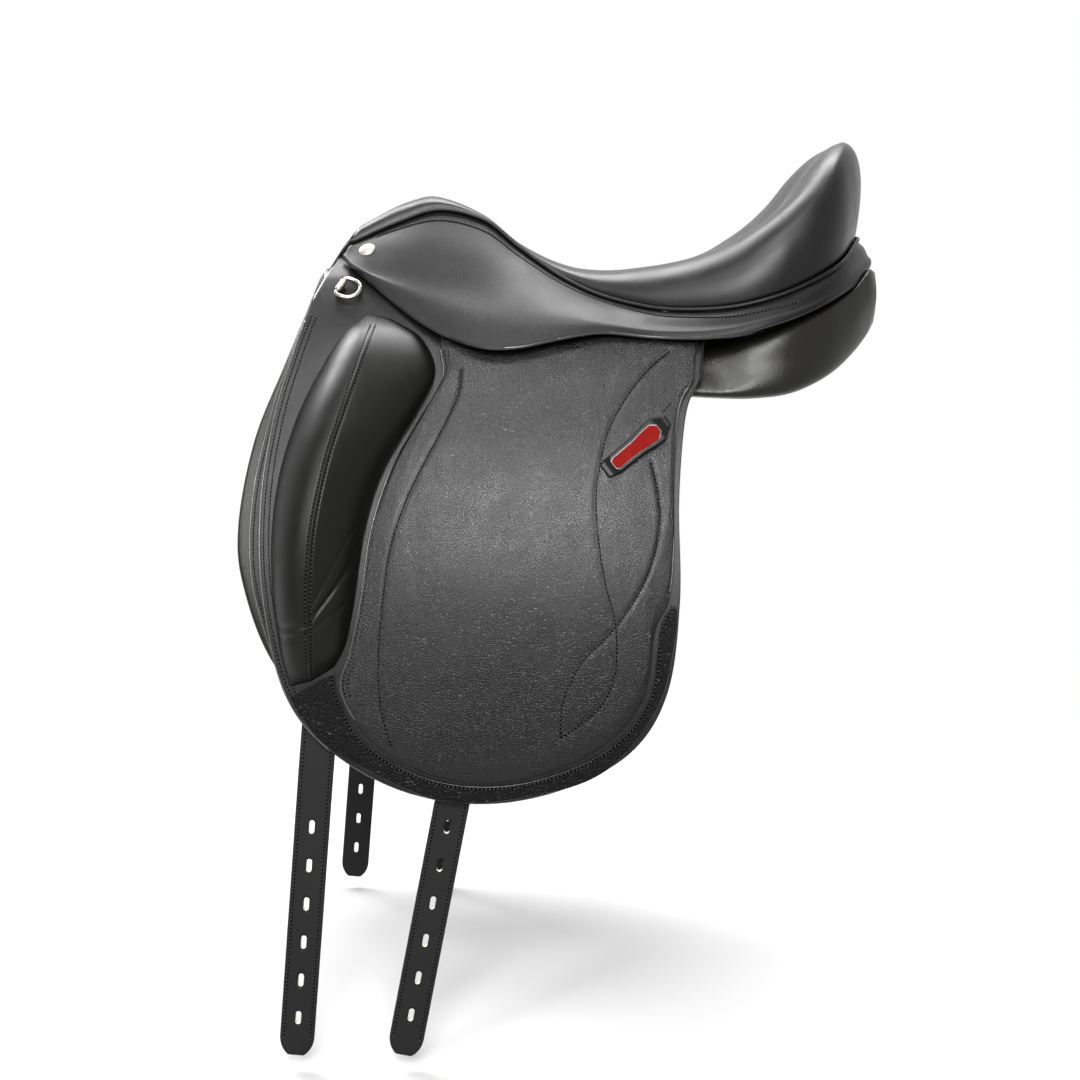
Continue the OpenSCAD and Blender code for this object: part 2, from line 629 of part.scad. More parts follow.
// Grained strip between the cover and the edge of the flap
strip_inner = pattern([[-214, -240], [-189, -280], [-135, -308], [-69, -310], [-4, -285], [31, -243],
  [40, -188], [49, -170]]);
strip_outer = pattern([[-248, -246], [-215, -284], [-137, -323], [-69, -322], [-4, -301], [38, -250],
  [52, -196], [54, -172]]);
module wear_strip() {
  flat = span(strip_inner, strip_outer, 2, 22);
  slab(wrap(flat, cover_in + strip_t), wrap(flat, cover_in));
}
module wear_strip_left() {
  color([0.15, 0.15, 0.15]) left() wear_strip();
}
module wear_strip_right() {
  color([0.15, 0.15, 0.15]) right() wear_strip();
}

// Knee block: front foot, crest with its share of the height, and rear foot
block_front = pattern([[-196, 55], [-213, 40], [-229, 14], [-247, -24], [-260, -70], [-265, -118],
  [-263, -165], [-255, -207], [-244, -228]]);
block_crest = pattern([[-187, 54], [-191, 35], [-197, 12], [-205, -14], [-217, -54], [-227, -106],
  [-231, -160], [-231, -198], [-230, -226]]);
block_rear = pattern([[-176, 52], [-150, 36], [-138, 10], [-149, -18], [-177, -67], [-191, -112],
  [-199, -166], [-207, -204], [-217, -224]]);
block_share = [0.14, 0.55, 0.78, 0.92, 1, 1, 0.82, 0.5, 0.12];
block_rows = 22;
block_half = 6;
function block_point(t, i) =
  let (f = curve(block_front, t), c = curve(block_crest, t), b = curve(block_rear, t))
  let (h = max(block_h * curve(block_share, t), 3), v = abs(i) / block_half)
  i <= 0 ? concat(mix(c, f, v), cover_in + h * pow(cos(90 * pow(v, 1.3)), 0.75) + 0.8)
         : concat(mix(c, b, v), cover_in + h * pow(cos(90 * pow(v, 1.1)), 0.65) + 0.8);
module knee_block() {
  grid = [for (r = [0:block_rows]) [for (i = [-block_half:block_half]) block_point(r / block_rows, i)]];
  slab([for (row = grid) [for (p = row) on_side([p[0], p[1]], p[2])]],
    [for (row = grid) [for (p = row) on_side([p[0], p[1]], cover_in)]]);
}
module knee_block_left() {
  color([0.11, 0.11, 0.12]) left() knee_block();
}
module knee_block_right() {
  color([0.11, 0.11, 0.12]) right() knee_block();
}

// Keeper on the flap cover, raised in the middle, with a coloured insert
keeper_place = [gx(22), gz(22, -47)];
keeper_turn = 38;
keeper_foot = 10;
keeper_steps = 14;
keeper_along = [cos(keeper_turn), sin(keeper_turn)];
keeper_across = [-sin(keeper_turn), cos(keeper_turn)];
function keeper_lift(s) =
  let (inner = keeper_l / 2 - keeper_foot)
  keeper_gap * (abs(s) > inner ? pow(max(0, (keeper_l / 2 - 4 - abs(s)) / (keeper_foot - 4)), 1) : 1);
function keeper_row(w, d) =
  [for (i = [-keeper_steps / 2:keeper_steps / 2])
    let (s = keeper_l * i / keeper_steps)
    on_side(keeper_place + s * keeper_along + w * keeper_across,
      cover_out + gap + min(keeper_gap, keeper_lift(s)) + d)];
module keeper() {
  places = [-keeper_w / 2, 0, keeper_w / 2];
  slab([for (w = places) keeper_row(w, keeper_t)], [for (w = places) keeper_row(w, 0)]);
}
module keeper_left() {
  color([0.12, 0.12, 0.13]) left() keeper();
}
module keeper_right() {
  color([0.12, 0.12, 0.13]) right() keeper();
}
badge_l = 42;
badge_w = 10.5;
badge_t = 1.2;
function badge_row(w, d) =
  [for (i = [-2:2])
    on_side(keeper_place + badge_l * i / 4 * keeper_along + w * keeper_across,
      cover_out + 2 * gap + keeper_gap + keeper_t + d)];
module keeper_badge() {
  places = [-badge_w / 2, 0, badge_w / 2];
  slab([for (w = places) badge_row(w, badge_t)], [for (w = places) badge_row(w, 0)]);
}
module keeper_badge_left() {
  color("firebrick") left() keeper_badge();
}
module keeper_badge_right() {
  color("firebrick") right() keeper_badge();
}

// Girth straps. Each hangs from a pivot and leans forward as it goes down
pivot_z = 10;
front_pivot = [gx(-204), pivot_z];
rear_pivot = [gx(-58), pivot_z];
front_lean = 5;
rear_lean = 11;
billet_tip = -540;
billet_head = billet_w / 2;
head_steps = 4;
first_hole = -348;
billet_steps = 16;
tip_l = 16;
// Point of a strap's middle line, a distance s below its pivot
function strap_at(pivot, lean, s) = [pivot[0] - s * sin(lean), pivot[1] - s * cos(lean)];
function strap_length(lean) = (pivot_z - billet_tip) / cos(lean);
function strap_s(lean, z) = (pivot_z - z) / cos(lean);
function strap_ring(pivot, lean, s, w, d_in, d_out) =
  let (m = strap_at(pivot, lean, s), o = w / 2 * cos(lean), k = w / 2 * sin(lean))
  let (front = m[1] + k, rear = m[1] - k)
  [[m[0] - o, -side_y(front, d_in), front], [m[0] + o, -side_y(rear, d_in), rear],
   [m[0] + o, -side_y(rear, d_out), rear], [m[0] - o, -side_y(front, d_out), front]];
module strap_hole(pivot, lean, s) {
  m = strap_at(pivot, lean, s);
  long = hole_l - hole_w;
  depth = 4 * billet_t;
  translate([m[0], -side_half_w - (billet_in + billet_out) / 2, m[1]]) rotate([0, lean, 0]) {
    for (e = [-1, 1]) translate([0, 0, e * long / 2]) rotate([90, 0, 0])
      cylinder(d = hole_w, h = depth, center = true);
    cube([hole_w, depth, long], center = true);
  }
}
module billet(pivot, lean) {
  full = strap_length(lean);
  difference() {
    loft(concat(
      [for (i = [0:head_steps - 1]) let (a = 84 - 84 * i / head_steps)
        strap_ring(pivot, lean, -billet_head * sin(a), billet_w * cos(a), billet_in, billet_out)],
      [for (i = [0:billet_steps])
        strap_ring(pivot, lean, mix(0, full - tip_l, i / billet_steps), billet_w, billet_in, billet_out)],
      [strap_ring(pivot, lean, full - tip_l / 3, billet_w * 0.78, billet_in, billet_out),
        strap_ring(pivot, lean, full, billet_w * 0.4, billet_in, billet_out)]));
    for (i = [0:hole_count - 1])
      strap_hole(pivot, lean, strap_s(lean, first_hole) + i * hole_pitch);
  }
}
module billet_front_left() {
  color([0.13, 0.13, 0.13]) left() billet(front_pivot, front_lean);
}
module billet_rear_left() {
  color([0.13, 0.13, 0.13]) left() billet(rear_pivot, rear_lean);
}
module billet_front_right() {
  color([0.13, 0.13, 0.13]) right() billet(front_pivot, front_lean);
}
module billet_rear_right() {
  color([0.13, 0.13, 0.13]) right() billet(rear_pivot, rear_lean);
}

// Webs that carry the girth straps, from the tree down to the strap heads
girth_web_t = 2;
web_mid = (billet_in + billet_out) / 2;
function web_ring(x, y, z, w) =
  [[x - w / 2, -y + girth_web_t / 2, z], [x + w / 2, -y + girth_web_t / 2, z],
   [x + w / 2, -y - girth_web_t / 2, z], [x - w / 2, -y - girth_web_t / 2, z]];
module girth_web(pivot, lean, top_x, top_y, top_z) {
  head = strap_at(pivot, lean, -billet_head);
  z0 = pivot[1] + billet_head + gap;
  z1 = z0 + 18;
  loft([
    web_ring(head[0], side_y(z0, web_mid), z0, billet_w - 2),
    web_ring(mix(head[0], top_x, 0.3), side_y(z1, web_mid), z1, billet_w - 2),
    web_ring(top_x, top_y + 0.5 * (side_y(z1, web_mid) - top_y), mix(z1, top_z, 0.5), billet_w - 2),
    web_ring(top_x, top_y, top_z, billet_w - 2)
  ]);
}
front_web_x = gx(-158);
rear_web_x = gx(-38);
web_seat = rail_w / 2 + girth_web_t / 2 + 1.3;
module girth_webs() {
  color("tan") both() {
    girth_web(front_pivot, front_lean, front_web_x, gy(67) + web_seat, rail_z(front_web_x) - 4);
    girth_web(rear_pivot, rear_lean, rear_web_x, gy(73.2) + web_seat, rail_z(rear_web_x));
  }
}

// Saddle nail in the front corner of each skirt
nail_place = graded([-198.8, -78.5, 107.8]);
nail_normal = unit([-0.25, -0.66, 0.71]);
nail_rise = 4;
module along(dir) {
  turn = atan2(dir[1], dir[0]);
  tilt = acos(clamp(dir[2], -1, 1));
  rotate([0, tilt, turn]) children();
}
module saddle_nail() {
  translate(nail_place) along(nail_normal) rotate_extrude()
    polygon([[0, 0], [nail_d / 2, 0], [nail_d / 2, 0.8], [nail_d * 0.42, 2.2], [nail_d * 0.25, 3.4],
      [0, nail_rise]]);
}
module saddle_nails() {
  color("gainsboro") both() saddle_nail();
}

// Dee ring and its staple, on the head of the flap
dee_place = [gx(-218), gz(-218, 75)];
dee_turn = 65;
dee_normal = side_normal(dee_place[1]);
staple_l = dee_w - 7;
staple_r = dee_wire / 2 + 1.6;
// How far the staple's foot reaches past the ring, over the leather
staple_foot = 5;
dee_room = 0.35;
// Local frame: x along the hinge, y away from the hinge along the leather, z outwards
module dee_frame() {
  translate(on_side(dee_place, 0))
    multmatrix(dee_matrix()) children();
}
dee_down = unit(cross([1, 0, 0], dee_normal));
dee_x = unit(sin(dee_turn) * dee_down - cos(dee_turn) * [1, 0, 0]);
dee_y = cross(dee_normal, dee_x);
function dee_matrix() = [
  [dee_x[0], dee_y[0], dee_normal[0], 0],
  [dee_x[1], dee_y[1], dee_normal[1], 0],
  [dee_x[2], dee_y[2], dee_normal[2], 0],
  [0, 0, 0, 1]];
dee_lift = staple_r + 1.6;
module dee_staple() {
  dee_frame() difference() {
    union() {
      translate([0, 0, dee_lift]) rotate([0, 90, 0]) cylinder(r = staple_r, h = staple_l, center = true);
      translate([0, -staple_foot / 2, dee_lift / 2 + 0.35])
        cube([staple_l, 2 * staple_r + staple_foot, dee_lift - 0.7], center = true);
    }
    translate([0, 0, dee_lift]) rotate([0, 90, 0])
      cylinder(d = dee_wire + 2 * dee_room, h = 2 * staple_l, center = true);
    translate([0, staple_r + 3, 0]) cube([2 * staple_l, 6, 12], center = true);
  }
}
module dee_ring() {
  dee_frame() translate([0, 0, dee_lift]) {
    rotate([0, 90, 0]) cylinder(d = dee_wire, h = dee_w, center = true);
    for (e = [-1, 1]) {
      translate([e * dee_w / 2, 0, 0]) sphere(d = dee_wire);
      translate([e * dee_w / 2, 0, 0]) rotate([-90, 0, 0]) cylinder(d = dee_wire, h = dee_reach - dee_w / 2);
    }
    translate([0, dee_reach - dee_w / 2, 0]) rotate_extrude(angle = 180)
      translate([dee_w / 2, 0]) circle(d = dee_wire);
  }
}
module dee_staple_left() {
  color("silver") left() dee_staple();
}
module dee_staple_right() {
  color("silver") right() dee_staple();
}
module dee_ring_left() {
  color("gainsboro") left() dee_ring();
}
module dee_ring_right() {
  color("gainsboro") right() dee_ring();
}

// Stirrup bar: back plate on the tree rail, an arm at the front and a bar open to the rear.
// Local frame: x to the rear along the bar, y outwards is negative, z up
bar_tilt = 13;
plate_l = 76;
plate_h = 11;
// Free end of the plate, in front of the arm
plate_end = 7;
arm_x = plate_end - plate_l / 2;
bar_plate_t = 3;
bar_arm = 10;
bar_x = gx(-102);
bar_y = gy(71) + rail_w / 2 + layer_gap;
bar_z = rail_z(bar_x) - 1;
pin_r = 2;
pin_room = 0.25;
catch_t = 2.6;
pin_head_r = 3.4;
pin_head_t = 1.2;
bar_end = bar_l / 2 - 5;
module bar_frame() {
  translate([bar_x, -bar_y, bar_z]) rotate([0, bar_tilt, 0]) children();
}
bar_front = bar_plate_t + bar_gap;
module stirrup_bar() {
  bar_frame() {
    translate([-plate_l / 2, -bar_plate_t, -plate_h / 2]) cube([plate_l, bar_plate_t, plate_h]);
    translate([arm_x, -bar_front - bar_t, -plate_h / 2])
      cube([bar_arm, bar_front + bar_t - bar_plate_t / 2, plate_h]);
    translate([arm_x + bar_arm / 2, -bar_front - bar_t, -bar_h / 2])
      cube([(bar_l - bar_arm - bar_h) / 2 - arm_x, bar_t, bar_h]);
    translate([bar_l / 2 - bar_h / 2, -bar_front - bar_t, 0]) rotate([-90, 0, 0])
      cylinder(d = bar_h, h = bar_t);
    translate([bar_end, -bar_front - bar_t - catch_t - 2 * gap, 0]) rotate([-90, 0, 0])
      cylinder(r = pin_r, h = catch_t + 2 * gap + 1);
    translate([bar_end, -bar_front - bar_t - catch_t - 2 * gap - pin_head_t, 0]) rotate([-90, 0, 0])
      cylinder(r = pin_head_r, h = pin_head_t);
  }
}
module bar_catch() {
  bar_frame() translate([bar_end, -bar_front - bar_t - catch_t - gap, 0]) difference() {
    union() {
      rotate([-90, 0, 0]) cylinder(d = bar_h - 2, h = catch_t);
      translate([0, 0, -bar_h / 2 + 2]) cube([catch_l, catch_t, bar_h - 4]);
      translate([catch_l, 0, 0]) rotate([-90, 0, 0]) cylinder(d = bar_h - 4, h = catch_t);
    }
    translate([0, -1, 0]) rotate([-90, 0, 0]) cylinder(r = pin_r + pin_room, h = catch_t + 2);
  }
}
module stirrup_bar_left() {
  color("silver") left() stirrup_bar();
}
module stirrup_bar_right() {
  color("silver") right() stirrup_bar();
}
module bar_catch_left() {
  color("gainsboro") left() bar_catch();
}
module bar_catch_right() {
  color("gainsboro") right() bar_catch();
}
// A rivet sits in the middle of each free end of the plate
rivet_r = 2.5;
rivet_t = 1.5;
module bar_rivets() {
  color("gray") both() bar_frame() for (e = [-1, 1])
    translate([e * (plate_l - plate_end) / 2, -bar_plate_t - 0.2 - rivet_t, 0]) rotate([-90, 0, 0])
      cylinder(r = rivet_r, h = rivet_t);
}

tree_frame();
head_plate();
spring_bars();
seat_webs();
seat_foam();
seat_cover();
seat_welt();
pommel_facing();
skirt_left();
skirt_right();
cantle_band();
saddle_nails();
gullet_lining();
panel_left();
panel_right();
knee_panel_left();
knee_panel_right();
sweat_flap_left();
sweat_flap_right();
flap_head_left();
flap_head_right();
stirrup_bar_left();
stirrup_bar_right();
bar_rivets();
girth_webs();
dee_staple_left();
dee_staple_right();
skirt_lap_left();
skirt_lap_right();
flap_left();
flap_right();
flap_cover_left();
flap_cover_right();
wear_strip_left();
wear_strip_right();
knee_block_left();
knee_block_right();
keeper_left();
keeper_right();
keeper_badge_left();
keeper_badge_right();
billet_front_left();
billet_rear_left();
billet_front_right();
billet_rear_right();
dee_ring_left();
dee_ring_right();
bar_catch_left();
bar_catch_right();
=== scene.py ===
# %% [markdown]
# # Dressing a dressage saddle
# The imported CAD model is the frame: its bodies, joints and sizes are fixed. A plain solid could just be
# painted black, but leather is told by its rounded edges, its seams and its thread. So each leather piece
# is made again here from the same pattern lines, with finer steps, and takes the place of its solid.
# Metal and moulded parts keep their solids and only get a finish.

import math

import bmesh
import bpy
import numpy as np
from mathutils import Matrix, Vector


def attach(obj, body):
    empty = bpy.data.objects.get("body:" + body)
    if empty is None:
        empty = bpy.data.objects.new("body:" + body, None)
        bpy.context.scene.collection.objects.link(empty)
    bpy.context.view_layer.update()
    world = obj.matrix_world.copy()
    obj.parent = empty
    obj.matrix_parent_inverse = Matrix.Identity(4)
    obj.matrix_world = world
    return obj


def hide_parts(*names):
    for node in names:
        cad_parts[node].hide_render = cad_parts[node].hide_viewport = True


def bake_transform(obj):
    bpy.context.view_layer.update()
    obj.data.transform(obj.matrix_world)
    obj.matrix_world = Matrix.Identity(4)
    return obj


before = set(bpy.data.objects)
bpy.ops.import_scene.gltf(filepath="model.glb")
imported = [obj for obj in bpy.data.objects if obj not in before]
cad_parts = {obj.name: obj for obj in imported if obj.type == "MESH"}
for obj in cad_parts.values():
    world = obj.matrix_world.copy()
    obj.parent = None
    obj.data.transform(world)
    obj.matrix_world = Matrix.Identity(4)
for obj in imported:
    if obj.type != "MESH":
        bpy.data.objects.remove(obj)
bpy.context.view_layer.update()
MM = 0.001
SADDLE = "saddle"

# %% [markdown]
# ## Camera
# The photograph looks square at the rider's left side, a little from above. A camera could be set by eye,
# but then no outline could be compared. Its place was worked out from the photograph instead: 1.5 m away,
# 8 degrees above the level, aimed at the middle of the flap.

# %% Camera
CAMERA_AIM = Vector((-0.054, 0.0, -0.148))
CAMERA_DISTANCE = 1.5
CAMERA_ELEVATION = math.radians(8)
FOCAL_PIXELS = 1655
PHOTO_PIXELS = 1080
SENSOR = 36.0

camera_data = bpy.data.cameras.new("photo_camera")
camera_data.sensor_width = SENSOR
camera_data.lens = SENSOR * FOCAL_PIXELS / PHOTO_PIXELS
camera = bpy.data.objects.new("photo_camera", camera_data)
toward_camera = Vector((0, -math.cos(CAMERA_ELEVATION), math.sin(CAMERA_ELEVATION)))
camera.location = CAMERA_AIM + CAMERA_DISTANCE * toward_camera
camera.rotation_euler = (-toward_camera).to_track_quat("-Z", "Y").to_euler()
bpy.context.scene.collection.objects.link(camera)
bpy.context.scene.camera = camera
bpy.context.scene.view_settings.view_transform = "Standard"
print("camera", [round(c, 3) for c in camera.location], "lens", round(camera_data.lens, 2), "mm")

# %% [markdown]
# ## Node helper and colours
# Shaders and Geometry Nodes are both trees of nodes. Each node could be made by hand in four or five
# lines; one small function that adds a node, sets it and links it keeps a tree readable. Colours are
# written as sRGB hex values, as one reads them off a picture, and turned to the linear values of Cycles.

# %% Node helper and colours
def add(tree, kind, settings=None, **inputs):
    """Adds a node. Inputs go by name, with _ for a space, or by number as in_0: a value or a socket."""
    node = tree.nodes.new(kind)
    for name, value in (settings or {}).items():
        setattr(node, name, value)
    for name, value in inputs.items():
        socket = node.inputs[int(name[3:])] if name.startswith("in_") else node.inputs[name.replace("_", " ")]
        if isinstance(value, bpy.types.NodeSocket):
            tree.links.new(value, socket)
        else:
            socket.default_value = value
    return node


def colour(hex_value):
    parts = [int(hex_value[i:i + 2], 16) / 255 for i in (1, 3, 5)]
    return [c / 12.92 if c < 0.04045 else ((c + 0.055) / 1.055) ** 2.4 for c in parts] + [1.0]


def new_material(name):
    """An empty material, its tree and the Object coordinates that its patterns are laid out in."""
    material = bpy.data.materials.new(name)
    material.use_nodes = True
    material.node_tree.nodes.clear()
    tree = material.node_tree
    return material, tree, add(tree, "ShaderNodeTexCoord").outputs["Object"]


def per_metre(size_mm):
    """Scale of a pattern whose cells are this size."""
    return 1000 / size_mm


print("linear value of a middle grey, #808080:", round(colour("#808080")[0], 3))

# %% [markdown]
# ## Leather
# Saddle leather is drum-dyed calf or cow hide with a thin sealed finish. What the eye gets is a nearly
# black colour that is never quite even, a satin gloss, very fine pores and, where the hide bends, soft
# creases. A photographed texture could show that too, but noise worked out from real sizes has no seams
# and fits any piece. One recipe serves all the hides; the numbers say which hide it is.

# %% Leather
DYE_CLOUD_MM = 60
WEAR_MM = 22
FOLD_MM = 26
FOLD_STRETCH = (1.0, 1.0, 0.35)
PORE_RIM = 0.16
DULLER, SHINIER = 0.06, 0.05


def leather(name, dark, light, roughness, pore_mm, pore_depth, crease_depth, gloss=0.3):
    """Real pores are about 0.2 mm wide; they are drawn several times coarser here, so that they show."""
    material, tree, place = new_material(name)
    cloud = add(tree, "ShaderNodeTexNoise", Vector=place, Scale=per_metre(DYE_CLOUD_MM), Detail=4.0,
                Roughness=0.55)
    tint = add(tree, "ShaderNodeMix", {"data_type": "RGBA"}, in_0=cloud.outputs[0], in_6=colour(dark),
               in_7=colour(light))
    worn = add(tree, "ShaderNodeTexNoise", Vector=place, Scale=per_metre(WEAR_MM), Detail=6.0, Roughness=0.6)
    rough = add(tree, "ShaderNodeMapRange", Value=worn.outputs[0], in_1=0.3, in_2=0.7,
                in_3=roughness - SHINIER, in_4=roughness + DULLER)
    pores = add(tree, "ShaderNodeTexVoronoi", {"feature": "DISTANCE_TO_EDGE"}, Vector=place,
                Scale=per_metre(pore_mm), Randomness=1.0)
    pore_height = add(tree, "ShaderNodeMapRange", {"interpolation_type": "SMOOTHSTEP"},
                      Value=pores.outputs["Distance"], in_1=0.0, in_2=PORE_RIM, in_3=0.0, in_4=1.0)
    fine = add(tree, "ShaderNodeBump", Strength=0.5, Distance=pore_depth * MM, Height=pore_height.outputs[0])
    stretched = add(tree, "ShaderNodeMapping", Vector=place, Scale=FOLD_STRETCH)
    folds = add(tree, "ShaderNodeTexNoise", Vector=stretched.outputs[0], Scale=per_metre(FOLD_MM), Detail=3.0,
                Roughness=0.5, Distortion=0.6)
    bump = add(tree, "ShaderNodeBump", Strength=0.5, Distance=crease_depth * MM, Height=folds.outputs[0],
               Normal=fine.outputs[0])
    shader = add(tree, "ShaderNodeBsdfPrincipled", Base_Color=tint.outputs[2], Roughness=rough.outputs[0],
                 Normal=bump.outputs[0], Specular_IOR_Level=gloss)
    add(tree, "ShaderNodeOutputMaterial", Surface=shader.outputs[0])
    return material


# Drawn tight over foam: an even satin, hardly any grain.
SEAT_CALF = leather("smooth_calf_seat", "#060606", "#0b0b0b", 0.34, 1.3, 0.05, 0.3, 0.2)
# The same calf, handled more: a softer shine and a little more grain.
SKIRT_CALF = leather("smooth_calf_skirt", "#060606", "#0b0b0b", 0.38, 1.6, 0.11, 0.3, 0.14)
# Calf over thin padding: broad soft waves and a plain grain where the leg rubs.
COVER_CALF = leather("smooth_calf_flap_cover", "#060606", "#0b0b0c", 0.31, 1.8, 0.2, 1.4, 0.2)
# Thin calf over thick foam: dark, with one long soft light down the crest.
BLOCK_CALF = leather("soft_calf_knee_block", "#050504", "#090908", 0.36, 1.3, 0.05, 0.4, 0.14)
# Thick hide with its smooth side out.
FLAP_HIDE = leather("thick_cow_hide_flap", "#060606", "#0c0c0c", 0.34, 1.4, 0.08, 0.5, 0.18)
# Soft greased hide on the panels: faintly brown and shiny.
PANEL_HIDE = leather("soft_cow_hide_panel", "#080805", "#0f0e0a", 0.3, 1.6, 0.08, 0.3, 0.22)
# Pebbles are pressed into it by a plate, so its grain is coarse and breaks up the light.
GRAINED_HIDE = leather("printed_pebble_hide", "#040404", "#070707", 0.36, 3.0, 1.2, 0.2, 0.08)
# Stuffed with wax: dull and a little grey.
STRAP_HIDE = leather("waxed_strap_hide", "#080808", "#101010", 0.55, 1.8, 0.12, 0.5, 0.15)
# Real edge paint, heated and rubbed; its colour is lighter than the leather, a painted highlight that gives a
# thin bright line.
EDGE_PAINT_AND_HIGHLIGHT = leather("sealed_edge_and_painted_highlight", "#151513", "#22211e", 0.28, 2.4, 0.05, 0.2, 0.6)
print("leathers", len(bpy.data.materials), "materials so far")

# %% [markdown]
# ## Thread and webbing
# The stitching is waxed polyester thread, twisted from three strands, in a pressed groove; the groove's shade
# is painted as a matt black tube. The webs under the seat are woven jute. Threads could be modelled one by
# one, but at this distance a wave pattern in the surface gives the twist and the weave for a few nodes.

# %% Thread and webbing
TWIST_MM = 2.4
# A wave pattern repeats every 0.314 of its cell, so 6.3 gives a ridge and a furrow of one rib each.
CELLS_PER_RIB = 6.3


def thread(name, hex_value, roughness, gloss):
    material, tree, place = new_material(name)
    twist = add(tree, "ShaderNodeTexWave", Vector=place, Scale=per_metre(TWIST_MM), Distortion=1.0)
    bump = add(tree, "ShaderNodeBump", Strength=0.4, Distance=0.1 * MM, Height=twist.outputs[1])
    shader = add(tree, "ShaderNodeBsdfPrincipled", Base_Color=colour(hex_value), Roughness=roughness,
                 Normal=bump.outputs[0], Specular_IOR_Level=gloss)
    add(tree, "ShaderNodeOutputMaterial", Surface=shader.outputs[0])
    return material


def webbing(name, dark, light, rib_mm):
    material, tree, place = new_material(name)
    warp, weft = [add(tree, "ShaderNodeTexWave", {"bands_direction": way}, Vector=place,
                      Scale=per_metre(rib_mm * CELLS_PER_RIB)) for way in "XY"]
    weave = add(tree, "ShaderNodeMath", {"operation": "MULTIPLY"}, in_0=warp.outputs[1], in_1=weft.outputs[1])
    tint = add(tree, "ShaderNodeMix", {"data_type": "RGBA"}, in_0=weave.outputs[0], in_6=colour(dark),
               in_7=colour(light))
    bump = add(tree, "ShaderNodeBump", Strength=0.6, Distance=0.4 * MM, Height=weave.outputs[0])
    shader = add(tree, "ShaderNodeBsdfPrincipled", Base_Color=tint.outputs[2], Roughness=0.85,
                 Normal=bump.outputs[0])
    add(tree, "ShaderNodeOutputMaterial", Surface=shader.outputs[0])
    return material


# Wax makes the thread slightly lighter and glossier than the leather round it.
WAXED_THREAD = thread("waxed_polyester_thread", "#202022", 0.45, 0.35)
# Painted shade: the shadow in the groove that the needle row is pressed into is a matt black tube that gives
# no light back.
GROOVE_SHADOW_TUBE = thread("painted_groove_shadow", "#010101", 1.0, 0.0)
# Undyed jute: straw brown with an open weave.
JUTE_WEB = webbing("woven_jute_web", "#7d6b4c", "#b39a70", 1.6)
print("thread and webbing", len(bpy.data.materials), "materials so far")

# %% [markdown]
# ## Metal, moulding and enamel
# Nickel plate is nearly a mirror with faint rubbing marks; forged and spring steel are duller. One value
# of roughness would look like a mirror or like paint, so fine noise varies it. The tree is a moulded
# fibre-filled plastic, and the insert on the keeper is plain red enamel.

# %% Metal, moulding and enamel
def metal(name, hex_value, roughness, mark_mm):
    material, tree, place = new_material(name)
    marks = add(tree, "ShaderNodeTexNoise", Vector=place, Scale=per_metre(mark_mm), Detail=6.0, Roughness=0.7)
    rough = add(tree, "ShaderNodeMapRange", Value=marks.outputs[0], in_1=0.3, in_2=0.7,
                in_3=roughness * 0.7, in_4=roughness * 1.4)
    bump = add(tree, "ShaderNodeBump", Strength=0.2, Distance=0.05 * MM, Height=marks.outputs[0])
    shader = add(tree, "ShaderNodeBsdfPrincipled", Base_Color=colour(hex_value), Metallic=1.0,
                 Roughness=rough.outputs[0], Normal=bump.outputs[0])
    add(tree, "ShaderNodeOutputMaterial", Surface=shader.outputs[0])
    return material


def moulding(name, dark, light, roughness, speck_mm, gloss=0.5):
    material, tree, place = new_material(name)
    speck = add(tree, "ShaderNodeTexNoise", Vector=place, Scale=per_metre(speck_mm), Detail=5.0)
    tint = add(tree, "ShaderNodeMix", {"data_type": "RGBA"}, in_0=speck.outputs[0], in_6=colour(dark),
               in_7=colour(light))
    bump = add(tree, "ShaderNodeBump", Strength=0.2, Distance=0.1 * MM, Height=speck.outputs[0])
    shader = add(tree, "ShaderNodeBsdfPrincipled", Base_Color=tint.outputs[2], Roughness=roughness,
                 Normal=bump.outputs[0], Specular_IOR_Level=gloss)
    add(tree, "ShaderNodeOutputMaterial", Surface=shader.outputs[0])
    return material


# Pale and fibrous, it shows as a light rim in each buckle hole.
NYLON_CORE = moulding("pale_nylon_core", "#9a958a", "#c9c4b8", 0.6, 1.5)
# Polished wire: sharp lights, a little rubbed.
NICKEL = metal("polished_nickel_plate", "#94918a", 0.22, 1.2)
# Nail heads are brushed, so that they stay pale from any side.
SATIN_NICKEL = metal("satin_nickel_plate", "#86837b", 0.5, 1.2)
# Grey, with the soft shine of a tumbled forging.
FORGED_STEEL = metal("forged_stainless_steel", "#b4b4b6", 0.34, 2.0)
# Heat-blued strip: darker and duller.
SPRING_STEEL = metal("blued_spring_steel", "#77797d", 0.42, 3.0)
# Dark plastic with a fine mottle of fibres.
TREE_MOULDING = moulding("fibre_filled_tree_moulding", "#26262a", "#34343a", 0.55, 3.0)
# A full red with hardly any gloss, so that the white room doesn't wash it out.
RED_ENAMEL = moulding("red_enamel", "#4c0604", "#620a06", 0.5, 6.0, 0.02)
# The thin frame round the insert: grey, between leather and enamel.
DARK_NICKEL = metal("black_nickel_plate", "#4a4a4c", 0.35, 1.2)
print("metal, moulding and enamel", len(bpy.data.materials), "materials so far")

# %% [markdown]
# ## Studio
# A catalogue photograph has a white surround and large soft lamps. Leather shows its form by what it mirrors,
# so one lamp overhead would leave it flat. Five soft lamps stand where the photograph has its long
# highlights, and the surround is brighter to the camera and in mirrored rays than as a source of light.

# %% Studio
LAMPS = [("front", (-0.05, -2.2, 0.88), (0.9, 0.9), 100), ("upper", (-0.25, -1.4, 1.75), (0.9, 0.7), 36),
         ("top", (0.1, 0.7, 1.8), (1.4, 1.2), 78), ("back_left", (-1.25, 0.9, 1.5), (1.2, 1.2), 80),
         ("side", (-1.2, -1.75, 0.75), (0.25, 1.0), 18)]
SURROUND_LIGHT, SURROUND_SEEN = 0.6, 1.0

